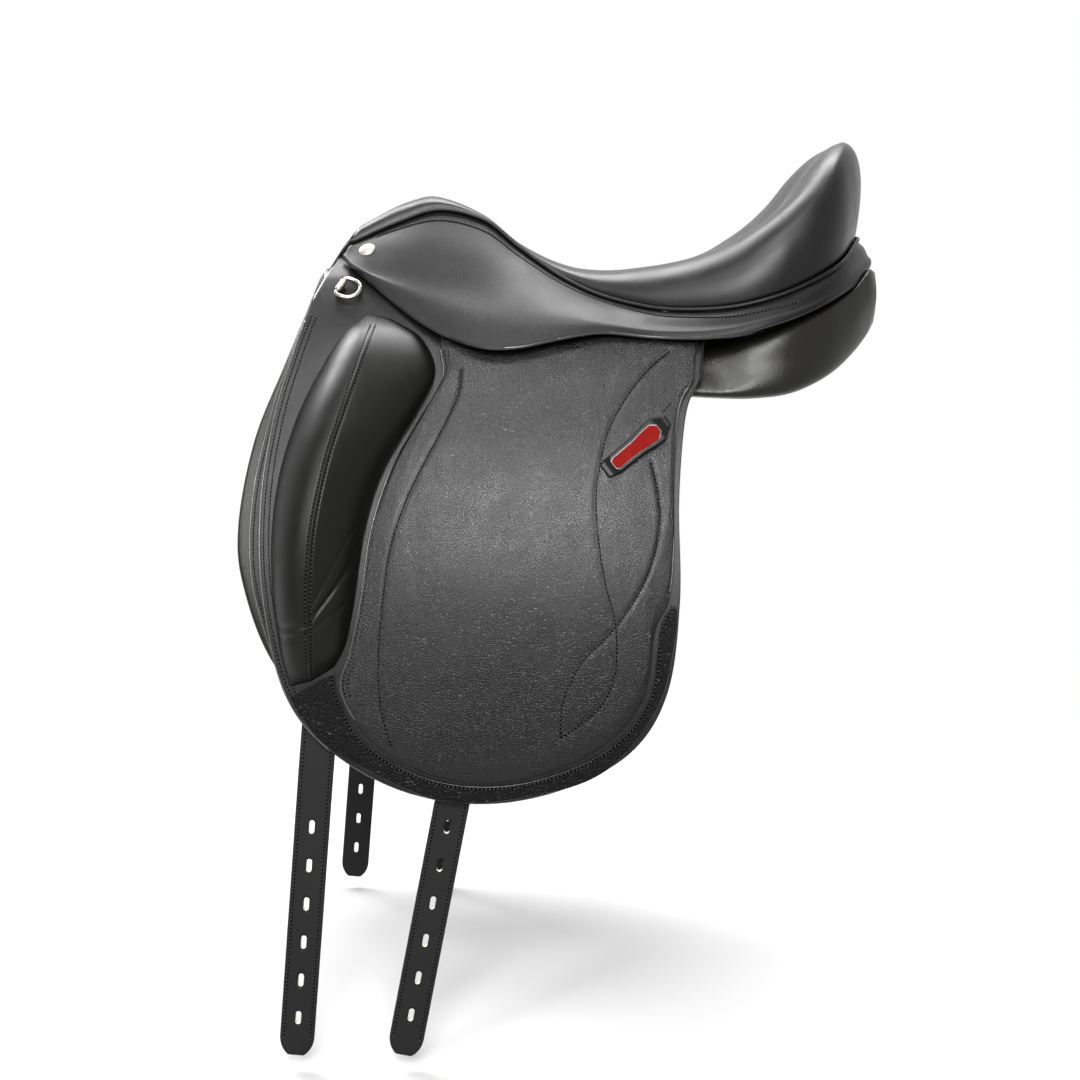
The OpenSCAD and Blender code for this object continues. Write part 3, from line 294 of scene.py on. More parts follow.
world = bpy.data.worlds.new("studio")
bpy.context.scene.world = world
world.use_nodes = True
sky = world.node_tree
sky.nodes.clear()
rays = add(sky, "ShaderNodeLightPath")
seen = add(sky, "ShaderNodeMath", {"operation": "MAXIMUM"}, in_0=rays.outputs["Is Camera Ray"],
           in_1=rays.outputs["Is Glossy Ray"])
seen_through = add(sky, "ShaderNodeMath", {"operation": "MAXIMUM"}, in_0=seen.outputs[0],
                   in_1=rays.outputs["Is Transmission Ray"])
level = add(sky, "ShaderNodeMapRange", Value=seen_through.outputs[0], in_3=SURROUND_LIGHT, in_4=SURROUND_SEEN)
add(sky, "ShaderNodeOutputWorld", Surface=add(sky, "ShaderNodeBackground", Color=colour("#ffffff"),
                                              Strength=level.outputs[0]).outputs[0])
for lamp_name, lamp_place, lamp_size, lamp_power in LAMPS:
    lamp_data = bpy.data.lights.new(lamp_name, "AREA")
    lamp_data.shape = "RECTANGLE"
    lamp_data.size, lamp_data.size_y = lamp_size
    lamp_data.energy = lamp_power
    lamp = bpy.data.objects.new(lamp_name, lamp_data)
    lamp.location = lamp_place
    lamp.rotation_euler = (CAMERA_AIM - Vector(lamp_place)).to_track_quat("-Z", "Y").to_euler()
    bpy.context.scene.collection.objects.link(lamp)
print("lamps", len(LAMPS))

# %% [markdown]
# ## Floor
# The floor takes the shadow, and a plain plane would show a horizon. So it is matt and pale near the
# saddle and turns into plain white light further out.

# %% Floor
FLOOR_Z = -0.552
FLOOR_SIZE = 12
FLOOR_FADE = (0.7, 1.5)
floor_finish, tree, place = new_material("matt_white_floor")
matt = add(tree, "ShaderNodeBsdfDiffuse", Color=colour("#a8a8a8"))
white = add(tree, "ShaderNodeEmission", Color=colour("#ffffff"), Strength=1.0)
far = add(tree, "ShaderNodeVectorMath", {"operation": "LENGTH"}, in_0=place)
fade = add(tree, "ShaderNodeMapRange", {"interpolation_type": "SMOOTHSTEP"}, Value=far.outputs["Value"],
           in_1=FLOOR_FADE[0], in_2=FLOOR_FADE[1])
mixed = add(tree, "ShaderNodeMixShader", in_0=fade.outputs[0], in_1=matt.outputs[0], in_2=white.outputs[0])
add(tree, "ShaderNodeOutputMaterial", Surface=mixed.outputs[0])
bpy.ops.mesh.primitive_plane_add(size=FLOOR_SIZE, location=(0, 0, FLOOR_Z))
floor = bpy.context.object
floor.name = "studio_floor"
floor.data.materials.append(floor_finish)
print("floor at", FLOOR_Z, "m")

# %% [markdown]
# ## Pattern lines
# A saddler cuts leather to flat patterns. An outline could be a row of many short straight steps; here a
# smooth curve through a few points gives it at any fineness. The points are in millimetres, the same ones
# that the CAD solids are cut to.

# %% Curves
FLIP = np.array([1, -1, 1])


def mix(a, b, t):
    return a + (b - a) * t


def between(a, b, c, d, f):
    """Smooth way from b to c, for f from 0 to 1; a and d are the points before and after them."""
    return (2 * b + (c - a) * f + (2 * a - 5 * b + 4 * c - d) * f ** 2 + (3 * b - a - 3 * c + d) * f ** 3) / 2


def curve(points, share, beyond=None):
    """Smooth curve through the points, for shares from 0 to 1; beyond is the point that its end heads for."""
    p = np.asarray(points, float)
    flat = p.ndim == 1
    p = p[:, None] if flat else p
    share = np.asarray(share, float)
    s = np.clip(share, 0, 1) * (len(p) - 1)
    i = np.minimum(s.astype(int), len(p) - 2)
    f = (s - i)[..., None]
    q = np.vstack([2 * p[0] - p[1], p, 2 * p[-1] - p[-2] if beyond is None else np.atleast_1d(beyond)])
    out = between(q[i], q[i + 1], q[i + 2], q[i + 3], f)
    return out[..., 0] if flat else out


def ring_curve(points, share):
    """The same curve, closed on itself."""
    p = np.asarray(points, float)
    s = np.asarray(share, float) * len(p)
    i = np.floor(s).astype(int)
    return between(*(p[(i + k) % len(p)] for k in (-1, 0, 1, 2)), (s - i)[..., None])


print("a quarter along a curve through 0, 1 and 4:", curve([0, 1, 4], 0.25))

# %% [markdown]
# ## The side of the saddle
# All the layers of the side hang over the horse's ribs, one on the other. Each could have its own bent
# surface, but then they would cut through each other. So the side is one smooth surface, a place on it
# needs only two numbers, how far back and how high, and each layer has its own depth.

# %% The side of the saddle
SIDE_HALF_WIDTH = 222
SIDE_RISE = 458
SIDE_CENTRE = -330
FLAP, COVER, STRAP, SWEAT = 5.0, 3.5, 4.0, 3.5
STRAP_ROOM = 2.0
LAYER_GAP = 0.8
STRAP_OUT = -FLAP - STRAP_ROOM
STRAP_IN = STRAP_OUT - STRAP
SWEAT_OUT = STRAP_IN - STRAP_ROOM
SWEAT_IN = SWEAT_OUT - SWEAT
PANEL_OUT = SWEAT_IN - LAYER_GAP
COVER_IN = LAYER_GAP
COVER_OUT = COVER_IN + COVER


def side_y(z, depth):
    reach = np.clip((z - SIDE_CENTRE) / (SIDE_RISE + depth), 0, 1)
    return (SIDE_HALF_WIDTH + depth) * np.sqrt(1 - reach ** 2)


def on_side(flat, depth):
    """Places on the left side of the saddle; depth is measured out from the face of the flap."""
    x, z = flat[..., 0], flat[..., 1]
    return np.stack([x, -side_y(z, depth) + 0 * x, z], -1)


print("depths from the flap's face, mm: cover", COVER_OUT, "straps", STRAP_OUT, "panel", round(PANEL_OUT, 1))

# %% [markdown]
# ## From points to a mesh
# Every sheet of leather has two faces that meet along a rounded edge. A Solidify modifier could give the
# thickness, but not an edge that gets thinner, so each sheet is two grids of points. The right side of
# the saddle is the left one mirrored.

# %% From points to a mesh
WELD_MM = 0.01


def new_piece(name, points, faces, material, edge_faces=None, edge_material=None, wall_start=None):
    """Smooth mesh at the origin, from points in millimetres; faces from wall_start on have sharp edges."""
    mesh = bpy.data.meshes.new(name)
    mesh.from_pydata((np.asarray(points) * MM).tolist(), [], [list(map(int, f)) for f in faces])
    mesh.materials.append(material)
    if edge_material is not None:
        mesh.materials.append(edge_material)
        mesh.polygons.foreach_set("material_index", np.asarray(edge_faces, np.int32))
    shape = bmesh.new()
    shape.from_mesh(mesh)
    for face in shape.faces:
        face.smooth = True
        if wall_start is not None and face.index >= wall_start:
            for edge in face.edges:
                edge.smooth = False
    bmesh.ops.remove_doubles(shape, verts=shape.verts, dist=WELD_MM * MM)
    bmesh.ops.recalc_face_normals(shape, faces=shape.faces)
    shape.to_mesh(mesh)
    shape.free()
    piece = bpy.data.objects.new(name, mesh)
    bpy.context.scene.collection.objects.link(piece)
    return piece


def grid_faces(rows, cols, first=0, turned=False):
    r, c = np.meshgrid(np.arange(rows - 1), np.arange(cols - 1), indexing="ij")
    a = (first + r * cols + c).ravel()
    quads = np.stack([a, a + 1, a + cols + 1, a + cols], 1)
    return quads[:, ::-1] if turned else quads


def sheet(name, outer, inner, material, rim=None, walls=()):
    """Closed sheet between two equal grids whose borders meet, or have a wall at the columns in walls."""
    rows, cols = outer.shape[:2]
    count = rows * cols
    points = np.concatenate([outer.reshape(-1, 3), inner.reshape(-1, 3)])
    faces = np.concatenate([grid_faces(rows, cols), grid_faces(rows, cols, count, True)])
    start = len(faces)
    for column in walls:
        a = np.arange(rows - 1) * cols + column % cols
        faces = np.concatenate([faces, np.stack([a, a + cols, count + a + cols, count + a], 1)])
    if rim is None:
        return new_piece(name, points, faces, material, wall_start=start)
    # Rim faces take the sealed edge material; its lighter colour is a painted highlight.
    edge = np.concatenate([rim.ravel(), rim.ravel()])
    return new_piece(name, points, faces, material, edge[faces].all(1), EDGE_PAINT_AND_HIGHLIGHT, start)


def mirrored(piece, name):
    """The same piece on the other side of the saddle."""
    mesh = piece.data.copy()
    mesh.name = name
    places = np.empty(len(mesh.vertices) * 3, np.float32)
    mesh.vertices.foreach_get("co", places)
    places[1::3] *= -1
    mesh.vertices.foreach_set("co", places)
    mesh.flip_normals()
    twin = bpy.data.objects.new(name, mesh)
    bpy.context.scene.collection.objects.link(twin)
    return twin


# %% [markdown]
# ## Where each piece belongs
# A finished piece rides on the body of the CAD node that it stands for; one given a bend is left where it
# lies. That could be written out for each of the sixty pieces. Here one function settles a piece and hides
# the CAD nodes that it replaces, one does so for a left piece and its mirror, and one does trim that stands
# for no node.

# %% Where each piece belongs
def settle(piece, body, nodes, bend=None):
    """Rides on its body, or with a bend is left where it lies, and hides the nodes that it replaces."""
    if bend is None:
        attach(piece, body)
    else:
        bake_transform(piece)
    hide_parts(*nodes)
    print(piece.name, len(piece.data.polygons), "faces")


def settle_pair(left, body, nodes, bend=None):
    right = mirrored(left, left.name.replace("left", "right"))
    for side, piece in (("left", left), ("right", right)):
        turned = [tuple(np.multiply(p, FLIP)) for p in bend] if bend and side == "right" else bend
        nodes_here = [n.replace("SIDE", side) for n in nodes]
        settle(piece, body.replace("SIDE", side), nodes_here, turned)


def trim_pair(left, body):
    right = mirrored(left, left.name.replace("left", "right"))
    for side, piece in (("left", left), ("right", right)):
        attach(piece, body.replace("SIDE", side))
    print(left.name, "and its mirror", len(left.data.polygons), "faces each")


# %% [markdown]
# ## Seat
# The seat is soft calf drawn over foam: a high rolled cantle, a deep dip and a narrow twist at the front.
# It could be sculpted, but then it would miss the seam that the skirts are sewn to. So it is a set of
# ribs: each rises from the seam to a crest and falls into the bowl. Behind the dip the ribs fan out from
# one place, so that the cantle is round.

# %% Pattern of the seat
SEAM = [(-213, -66, 115), (-173, -57, 133), (-139, -54, 143), (-101, -56, 134), (-71, -62, 111),
        (-37, -75, 87), (-4, -91, 71), (36, -110, 61), (69, -121, 59), (100, -128, 61), (124, -130, 66),
        (149, -127, 74), (175, -116, 86), (195, -95, 98), (210, -60, 112), (219, -28, 119), (222, 0, 121)]
SPINE = [(-187, 0, 144), (-168, 0, 153), (-143, 0, 157), (-106, 0, 139.5), (-72, 0, 114), (-37, 0, 99),
         (-4, 0, 93.5), (36, 0, 95), (69, 0, 100.5), (98, 0, 108), (110, 0, 112), (117, 0, 114.5),
         (122, 0, 116.3), (126, 0, 117.6), (129, 0, 118.6), (132, 0, 119.6), (135, 0, 120.6)]
CREST_SHARE = [0.5, 0.5, 0.5, 0.5, 0.5, 0.45, 0.42, 0.4, 0.36, 0.3, 0.25, 0.21, 0.19, 0.18, 0.17, 0.17, 0.17]
CREST_HEIGHT = [135, 150, 155, 140, 115.5, 98.5, 92, 95, 101, 111.5, 123.5, 138.5, 159.5, 181.5, 196.5, 202,
                203]
SEAT_SWELL = [-1.5, 1, 3, 4, 4, 4, 4, 4, 4, 4, 4.5, 5, 5.5, 6, 6.5, 6.5, 6.5]
SPINE_LEAN = 0.34
# From the dip to the cantle: none of the rear form up to share 0.6 of the seam, all of it from 0.8 on.
REAR_RATE, REAR_LAG = 5, 3
ROLL_POWER = (1.0, 0.75)
BOWL_POWER = (0.85, 0.95)
POMMEL_RATE = 4
SEAT_ROWS = 150
RIB_STEPS = 36


def cut_back(u, t):
    """Share by which the ribs of the pommel are drawn towards the middle, so that its front is round."""
    t = np.clip(t, 0, 1)
    return np.clip(1 - POMMEL_RATE * u, 0, 1) * (np.sin(np.pi / 2 * t) - t)


def seat_point(u, v, drop):
    """Left half of the seat: u runs from pommel to cantle, v from the seam to the middle."""
    w = curve(SEAM, u, np.array(SEAM[-2]) * FLIP)
    s = curve(SPINE, u, SPINE[-2]) - np.array([0, 0, drop])
    flat = (s - w) * np.array([1, 1, 0])
    reach = np.linalg.norm(flat, axis=-1)
    inward = flat / reach[..., None]
    share = curve(CREST_SHARE, u, CREST_SHARE[-2])
    top = curve(CREST_HEIGHT, u, CREST_HEIGHT[-2]) - drop
    angle = np.pi / 2 * np.clip(v * 2, 0, 1)
    fall = np.clip(v * 2 - 1, 0, 1)
    behind = np.clip(REAR_RATE * u - REAR_LAG, 0, 1)
    roll = share * reach * (1 - np.cos(angle).clip(0) ** mix(*ROLL_POWER, behind))
    rolled = roll - curve(SEAT_SWELL, u) * np.sin(2 * angle) + drop * np.cos(angle)
    way = np.where(v <= 0.5, rolled, (share + (1 - share) * fall) * reach)
    bowl = (1 + np.cos(np.pi * fall ** mix(*BOWL_POWER, behind))) / 2
    x = w[..., 0] + way * inward[..., 0] + cut_back(u, way / reach) * (s[..., 0] - w[..., 0])
    lean = SPINE_LEAN * behind * (x - s[..., 0]) * fall ** 2
    height = np.where(v <= 0.5, w[..., 2] + (top - w[..., 2]) * np.sin(angle),
                      s[..., 2] + (top - s[..., 2]) * bowl + lean)
    y = w[..., 1] + way * inward[..., 1]
    return np.stack([x, y, height], -1)


print("seat pattern", len(SEAM), "ribs a side, crest from", min(CREST_HEIGHT), "to", CREST_HEIGHT[-1], "mm")

# %% [markdown]
# Where the ribs meet, small steps between them would catch the light as a crease. A Smooth modifier would
# shrink the cantle as well, so only the heights in the back of the bowl are evened out, more across than
# along, and less and less away from the middle.

# %% Seat
BOWL_START = 130.0
BOWL_REACH = 48.0
BOWL_BLUR = (6.0, 15.0)
SEAT_DEPTH = 14.0


def even_bowl(grid):
    """Evens out the back of the bowl: each height becomes a mean of those near it."""
    inner = grid[SEAT_ROWS // 2:, RIB_STEPS // 2:-(RIB_STEPS // 2)]
    a, b = np.gradient(inner, axis=0), np.gradient(inner, axis=1)
    area = np.abs(a[..., 0] * b[..., 1] - a[..., 1] * b[..., 0]).ravel() + 1e-6
    places = inner.reshape(-1, 3)
    away = np.hypot(np.clip(BOWL_START - places[:, 0], 0, None), places[:, 1])
    heights = places[:, 2].copy()
    for k in np.flatnonzero(away < 2 * BOWL_REACH):
        apart = (places[:, :2] - places[k, :2]) / np.array(BOWL_BLUR)
        weight = area * np.exp(-(apart ** 2).sum(1) / 2)
        share = math.exp(-(away[k] / BOWL_REACH) ** 2)
        heights[k] = mix(places[k, 2], (weight * places[:, 2]).sum() / weight.sum(), share)
    inner[..., 2] = heights.reshape(inner.shape[:2])
    return grid


def seat_grid(drop):
    u, v = np.meshgrid(np.linspace(0, 1, SEAT_ROWS), np.linspace(0, 1, RIB_STEPS), indexing="ij")
    half = seat_point(u, v, drop)
    return even_bowl(np.concatenate([half, (half * FLIP)[:, -2::-1]], 1))


seat_top, seat_low = seat_grid(0.0), seat_grid(SEAT_DEPTH)
rows, cols = seat_top.shape[:2]
seat_points = np.concatenate([seat_top.reshape(-1, 3), seat_low.reshape(-1, 3)])
count = rows * cols
front = [[c, c + 1, count + c + 1, count + c] for c in range(cols - 1)]
sides = [[r * cols + c, (r + 1) * cols + c, count + (r + 1) * cols + c, count + r * cols + c]
         for r in range(rows - 1) for c in (0, cols - 1)]
seat_faces = np.concatenate([grid_faces(rows, cols), grid_faces(rows, cols, count, True), front, sides])
seat = new_piece("seat_leather", seat_points, seat_faces, SEAT_CALF)
settle(seat, SADDLE, ["seat_cover", "seat_foam"])

# %% [markdown]
# ## Piping
# A welt is a cord wrapped in leather and sewn into a seam. A curve with a bevel could draw it, but a plain
# tube of rings along the seam is a mesh at once, and the dee rings need the same function later.

# %% Piping
def ring_faces(rings, around, closed=False):
    """Faces between rings of points, with a cap on each end unless the last ring meets the first."""
    faces = [[i * around + j, i * around + (j + 1) % around,
              (i + 1) % rings * around + (j + 1) % around, (i + 1) % rings * around + j]
             for i in range(rings if closed else rings - 1) for j in range(around)]
    last = (rings - 1) * around
    return faces if closed else faces + [list(range(around)), list(range(last, last + around))]


def round_about(first, second, sides):
    """Unit ring from two directions square to each other."""
    turn = np.linspace(0, 2 * np.pi, sides, endpoint=False)
    return np.cos(turn)[None, :, None] * first + np.sin(turn)[None, :, None] * second


def tube(name, path, radius, material, sides=12, closed=False):
    """Round tube along a path; radius is one number or one for each point."""
    path = np.asarray(path, float)
    n = len(path)
    along = np.roll(path, -1, 0) - np.roll(path, 1, 0) if closed else np.gradient(path, axis=0)
    along /= np.linalg.norm(along, axis=1)[:, None]
    spread = np.linalg.svd(path - path.mean(0))[2][2]
    out = np.cross(along, spread)
    out /= np.linalg.norm(out, axis=1)[:, None]
    ring = round_about(out[:, None], np.cross(out, along)[:, None], sides)
    points = path[:, None] + np.broadcast_to(radius, n)[:, None, None] * ring
    return new_piece(name, points.reshape(-1, 3), ring_faces(n, sides, closed), material)


def outward_from_spine(seam, spine):
    """Level directions from the middle of the seat out through its seam."""
    out = (seam - spine) * np.array([1, 1, 0])
    return out / np.linalg.norm(out, axis=1)[:, None]


WELT_RADIUS = 1.8
WELT_ROOM = 0.6
WELT_STEPS = 160
u = np.linspace(0, 1, WELT_STEPS)
seam_line = curve(SEAM, u)
welt_half = seam_line + (WELT_RADIUS + WELT_ROOM) * outward_from_spine(seam_line, curve(SPINE, u))
welt_path = np.concatenate([welt_half, (welt_half * FLIP)[-2::-1]])
welt = tube("seat_welt_piping", welt_path, WELT_RADIUS, SKIRT_CALF)
settle(welt, SADDLE, ["seat_welt"])

# %% [markdown]
# ## Round edges
# A cut edge catches the light as a thin line, because it is rounded and sealed. A Bevel modifier would
# round every corner of a grid, so the grids have steps close together near the edge instead, and the
# thickness falls off there like a quarter of a circle.

# %% Round edges
NEAR_EDGE = np.array([0, 0.06, 0.22, 0.5, 0.8])
WIDEST_RIM = 0.12
# Faces this near a cut edge take the sealed edge colour, whose lightness is a painted highlight.
PAINTED_RIM = 0.6


def steps(count, length, rim):
    """Shares from 0 to 1 across lengths, close together within rim of both ends: steps by lengths."""
    length = np.atleast_1d(np.asarray(length, float))
    first = np.minimum(rim / length, WIDEST_RIM)
    near = NEAR_EDGE[:, None] * first
    middle = first + (1 - 2 * first) * np.linspace(0, 1, count)[:, None]
    return np.concatenate([near, middle, 1 - near[::-1]])


def lengths(grid):
    """Way along a grid of points, down its rows and along its columns."""
    down = np.cumsum(np.linalg.norm(np.diff(grid, axis=0, prepend=grid[:1]), axis=2), 0)
    along = np.cumsum(np.linalg.norm(np.diff(grid, axis=1, prepend=grid[:, :1]), axis=2), 1)
    return down, along


def from_border(grid, first=True, last=True):
    """Distance of each place from the nearest cut edge; the first and last columns may be left out."""
    down, along = lengths(grid)
    parts = [down, down[-1] - down] + [along] * first + [along[:, -1:] - along] * last
    return np.minimum.reduce(parts)


def rounded(edge, rim):
    """Share of the full thickness near a round edge."""
    return np.sqrt(1 - (1 - np.clip(edge / rim, 0, 1)) ** 2)


def shell(name, face, thick, material, outward, ends=(True, True)):
    """Sheet of even thickness behind a grid of face points, with its normals; ends not cut get a wall."""
    normal = np.cross(np.gradient(face, axis=0), np.gradient(face, axis=1))
    normal /= np.maximum(np.linalg.norm(normal, axis=2), 1e-9)[..., None]
    normal *= np.sign((normal * outward).sum(2).mean())
    rim = thick / 2
    edge = from_border(face, *ends)
    half = rim * rounded(edge, rim)[..., None]
    middle = face - rim * normal
    walls = [k for k, cut_end in zip((0, -1), ends) if not cut_end]
    painted = edge < rim * PAINTED_RIM
    return sheet(name, middle + half * normal, middle - half * normal, material, painted, walls), normal


print("steps across 100 mm with a rim of 2 mm:", steps(3, 100, 2)[:, 0].round(3))

# %% [markdown]
# ## Skirts
# Each skirt is one piece of leather from the seat seam down over the stirrup bar, and its lower lap lifts.
# Two stiff pieces with a hinge would show a gap, so it is one mesh across the straight fold. Five lines from
# seam to edge give its form.

# %% Pattern of the skirts
FOLD_FRONT = np.array([-205, -93.7, 93.0])
FOLD_REAR = np.array([15, -139, 44.5])
SKIRT = 3.5
SKIRT_DROP = 1.4
SKIRT_TUCK = 1.2
SKIRT_TIP = [(-221, -75, 101), (-203, -99.5, 87.5)]
LAP_EDGE = [(-150, -137, 48), (-108, -158, 31), (-75, -161, 29), (-38, -155, 36), (-4, -148.5, 40.5)]
SKIRT_REAR = [(36, -146, 37), (72, -150, 36), (104, -150, 39), (132, -147, 46), (158, -138, 54)]
BAND_EDGE = [(184, -121, 65), (206, -92, 76), (223, -58, 87), (234, -26, 96), (237, 0, 99)]
FOLD_PLACES = (-198, -150, -108, -75, -38, -4)
FOLD_BOW = np.array([[1], [2.4], [2.4], [2.4], [2.4], [2.2]])
BOW = 1.6
REAR_BOW = 1.2
REAR_FOLD_SHARE = 0.65
BAND_RIBS = 6
BAND_CENTRE = [120, 0, 0]
BAND_RISE = [0, 0, 60]
SKIRT_DEPTH, SKIRT_LENGTH = 95, 300


def fold_at(x):
    return mix(FOLD_FRONT, FOLD_REAR, (x - FOLD_FRONT[0]) / (FOLD_REAR[0] - FOLD_FRONT[0]))


seam_out = outward_from_spine(np.array(SEAM, float), np.array(SPINE))
skirt_seam = np.array(SEAM) + SKIRT_TUCK * seam_out - np.array([0, 0, SKIRT_DROP])
skirt_low = np.array(SKIRT_TIP + LAP_EDGE + SKIRT_REAR + BAND_EDGE, float)
bow = np.tile([0, -1.0, 1.0], (len(SEAM), 1))
bow[-BAND_RIBS:] = (skirt_low[-BAND_RIBS:] - BAND_CENTRE) * [1, 1, 0] + BAND_RISE
bow *= BOW / np.linalg.norm(bow, axis=1)[:, None]
skirt_fold = mix(skirt_seam, skirt_low, REAR_FOLD_SHARE) + REAR_BOW * bow
lap = slice(1, 1 + len(FOLD_PLACES))
skirt_fold[lap] = np.array([fold_at(x) for x in FOLD_PLACES]) + FOLD_BOW * bow[lap]
skirt_lines = [skirt_seam, mix(skirt_seam, skirt_fold, 0.5) + bow, skirt_fold,
               mix(skirt_fold, skirt_low, 0.5) + bow, skirt_low]


def skirt_grid(across):
    """Face of the skirt and the band behind it at these shares of the seam, from pommel to cantle."""
    ribs = np.stack([curve(line, across) for line in skirt_lines])
    down = steps(56, SKIRT_DEPTH, SKIRT / 2)[:, 0]
    return np.stack([curve(ribs[:, c], down) for c in range(len(across))], 1)


print("skirt pattern", len(skirt_lines), "lines of", len(SEAM), "points")

# %% Skirts
SKIRT_SPLIT = 6.2 / (len(SEAM) - 1)
# Close steps at the front edge alone: those at the rear end are cut off.
FRONT_END = 0.975
SKIRT_OUTWARD = np.array([0, -1, 0.3])
LAP_DOWN = np.array([0.0, -0.73, -0.68])


def bend_band(front, rear, down, before, after):
    along = (rear - front) / np.linalg.norm(rear - front)
    down = down - along * (down @ along)
    middle = (front + rear) / 2
    return [tuple((middle - before * down) * MM), tuple((middle + after * down) * MM)]


front_share = steps(110, SKIRT_LENGTH, SKIRT / 2)[:, 0]
front_share = front_share[front_share < FRONT_END] / FRONT_END
front_face = skirt_grid(SKIRT_SPLIT * np.append(front_share, 1.0))
skirt, front_normal = shell("skirt_left_leather", front_face, SKIRT, SKIRT_CALF, SKIRT_OUTWARD,
                            ends=(True, False))
LAP_BEND = bend_band(FOLD_FRONT, FOLD_REAR, LAP_DOWN, before=1, after=5)
settle_pair(skirt, "skirt_lap_SIDE_body", ["skirt_SIDE", "skirt_lap_SIDE"], bend=LAP_BEND)

# %% [markdown]
# ## Cantle band and pommel facing
# Behind the laps the skirts run on into the band that closes the cantle. It could be two halves, but a
# joint in the middle would show, so it is one sheet from left to right. The facing closes the front of
# the pommel and starts at the front edge of the seat.

# %% Cantle band and pommel facing
BAND_STEPS = 150
BAND_INSIDE = np.array([60, 0, -60])
rear_left = skirt_grid(np.linspace(SKIRT_SPLIT, 1, BAND_STEPS))
rear_face = np.concatenate([rear_left, (rear_left * FLIP)[:, -2::-1]], 1)
band, rear_normal = shell("cantle_band_leather", rear_face, SKIRT, SKIRT_CALF, rear_face - BAND_INSIDE,
                          ends=(False, False))
settle(band, SADDLE, ["cantle_band"])

FACING, FACING_WIDTH, FACING_DEPTH = 3.0, 150, 30
FACING_LOW = [(-229, -73, 92), (-219, -45, 104), (-214, 0, 112), (-219, 45, 104), (-229, 73, 92)]
FACING_AHEAD = np.array([1.9, 0, 0.8])
FACING_NARROWER = np.array([1, 0.95, 1])
FACING_BOW = np.array([3.0, 0, 0])
FACING_OUTWARD = np.array([-1, 0, 0.0])
facing_share = steps(60, FACING_WIDTH, FACING / 2)[:, 0]
facing_top = curve((seat_top[0] - FACING_AHEAD) * FACING_NARROWER, facing_share)
facing_low = curve(FACING_LOW, facing_share)
facing_ribs = np.stack([facing_top, mix(facing_top, facing_low, 0.5) - FACING_BOW, facing_low])
facing_down = steps(14, FACING_DEPTH, FACING / 2)[:, 0]
facing_face = np.stack([curve(facing_ribs[:, c], facing_down) for c in range(len(facing_share))], 1)
facing = shell("pommel_facing_leather", facing_face, FACING, SKIRT_CALF, FACING_OUTWARD)[0]
settle(facing, SADDLE, ["pommel_facing"])

# %% [markdown]
# ## Bearing panels
# The two cushions that lie on the horse are soft hide stuffed with wool. Their form changes all along the
# saddle, so a loft through a few rings gives it: each ring has four corners, given at each place along
# the saddle, and a swell between them.

# %% Form of the bearing panels
PANEL_STATIONS = [
    (-204, 46, 66, 84, 62, 118, 4, 54, 40), (-196, 44, 68, 88, 62, 126, -6, 52, 36),
    (-160, 40, 62, 94, 56, 132, -12, 47, 26), (-105, 36, 50, 100, 50, 136, -14, 42, 18),
    (-50, 34, 41, 106, 42, 138, -13, 38, 12), (0, 34, 34, 112, 34, 138, -12, 37, 8),
    (45, 34, 28, 120, 28, 137, -11, 36, 4), (85, 34, 27, 132, 28, 139, -12, 36, 0),
    (120, 34, 31, 127, 38, 138, -12, 37, 0), (152, 34, 40, 125, 50, 131, -8, 40, 4),
    (182, 34, 54, 110, 63, 114, 4, 42, 14), (206, 36, 68, 91, 75, 92, 20, 44, 28),
    (224, 40, 89, 72, 90, 72, 38, 46, 44), (233, 46, 88, 60, 88, 60, 52, 48, 54)]
PANEL_CROWN = [0, 3.7]
PANEL_BELLY = [0, 5]
PANEL_CHANNEL = [1.5, 0]
PANEL_ROOM = 0.2
FLAP_REACH = 100
SWELL_PLACES, SWELL_SIZES = [60, 190], [1, 8]
PANEL_AROUND = 56
PANEL_ALONG = 110


def panel_ring(station, points):
    """Ring of points at one place along the saddle; under the flaps it keeps clear of the sweat flap."""
    x, in_y, in_z, out_y, out_z, low_y, low_z, foot_y, foot_z = station

    def room(y, z):
        return min(y, float(side_y(np.array(z), PANEL_OUT - PANEL_ROOM))) if x < FLAP_REACH else y

    in_top, foot = np.array([in_y, in_z]), np.array([foot_y, foot_z])
    out_top, out_low = np.array([room(out_y, out_z), out_z]), np.array([room(low_y, low_z), low_z])
    swell = np.interp(x, SWELL_PLACES, SWELL_SIZES)
    ring = [in_top, mix(in_top, out_top, 0.5) + PANEL_CROWN, out_top, mix(out_top, out_low, 0.5) + [swell, 1],
            out_low, mix(out_low, foot, 0.5) - PANEL_BELLY, foot, mix(foot, in_top, 0.5) - PANEL_CHANNEL]
    p = ring_curve(ring, np.arange(points) / points)
    return np.stack([np.full(points, float(x)), -p[:, 0], p[:, 1]], 1)


stations = np.stack([panel_ring(s, PANEL_AROUND) for s in PANEL_STATIONS])
share = np.linspace(0, 1, PANEL_ALONG)
panel_rings = np.stack([curve(stations[:, j], share) for j in range(PANEL_AROUND)], 1)
panel = new_piece("panel_left_leather", panel_rings.reshape(-1, 3), ring_faces(PANEL_ALONG, PANEL_AROUND),
                  PANEL_HIDE)
print("panel loft", PANEL_ALONG, "rings of", PANEL_AROUND, "points")

# %% [markdown]
# A loft alone looks like moulded plastic. A short cloth simulation, with air pressure for the wool, lets
# the skin swell and pucker between its sewn edges. It starts a little smaller, and how far a point may
# move is capped, so that the cushion keeps clear of its neighbours.

# %% Stuffing of the bearing panels
STUFFING_PRESSURE = 4.0
SKIN_SLACK = 0.004
CLOTH_FRAMES = 20
EVENING_ROUNDS = 4


def vertex_array(mesh, what):
    values = np.empty(len(mesh.vertices) * 3, np.float32)
    mesh.vertices.foreach_get(what, values)
    return values.reshape(-1, 3)


def applied(piece):
    """A plain mesh of a piece with its modifiers applied."""
    return bpy.data.meshes.new_from_object(piece.evaluated_get(bpy.context.evaluated_depsgraph_get()))


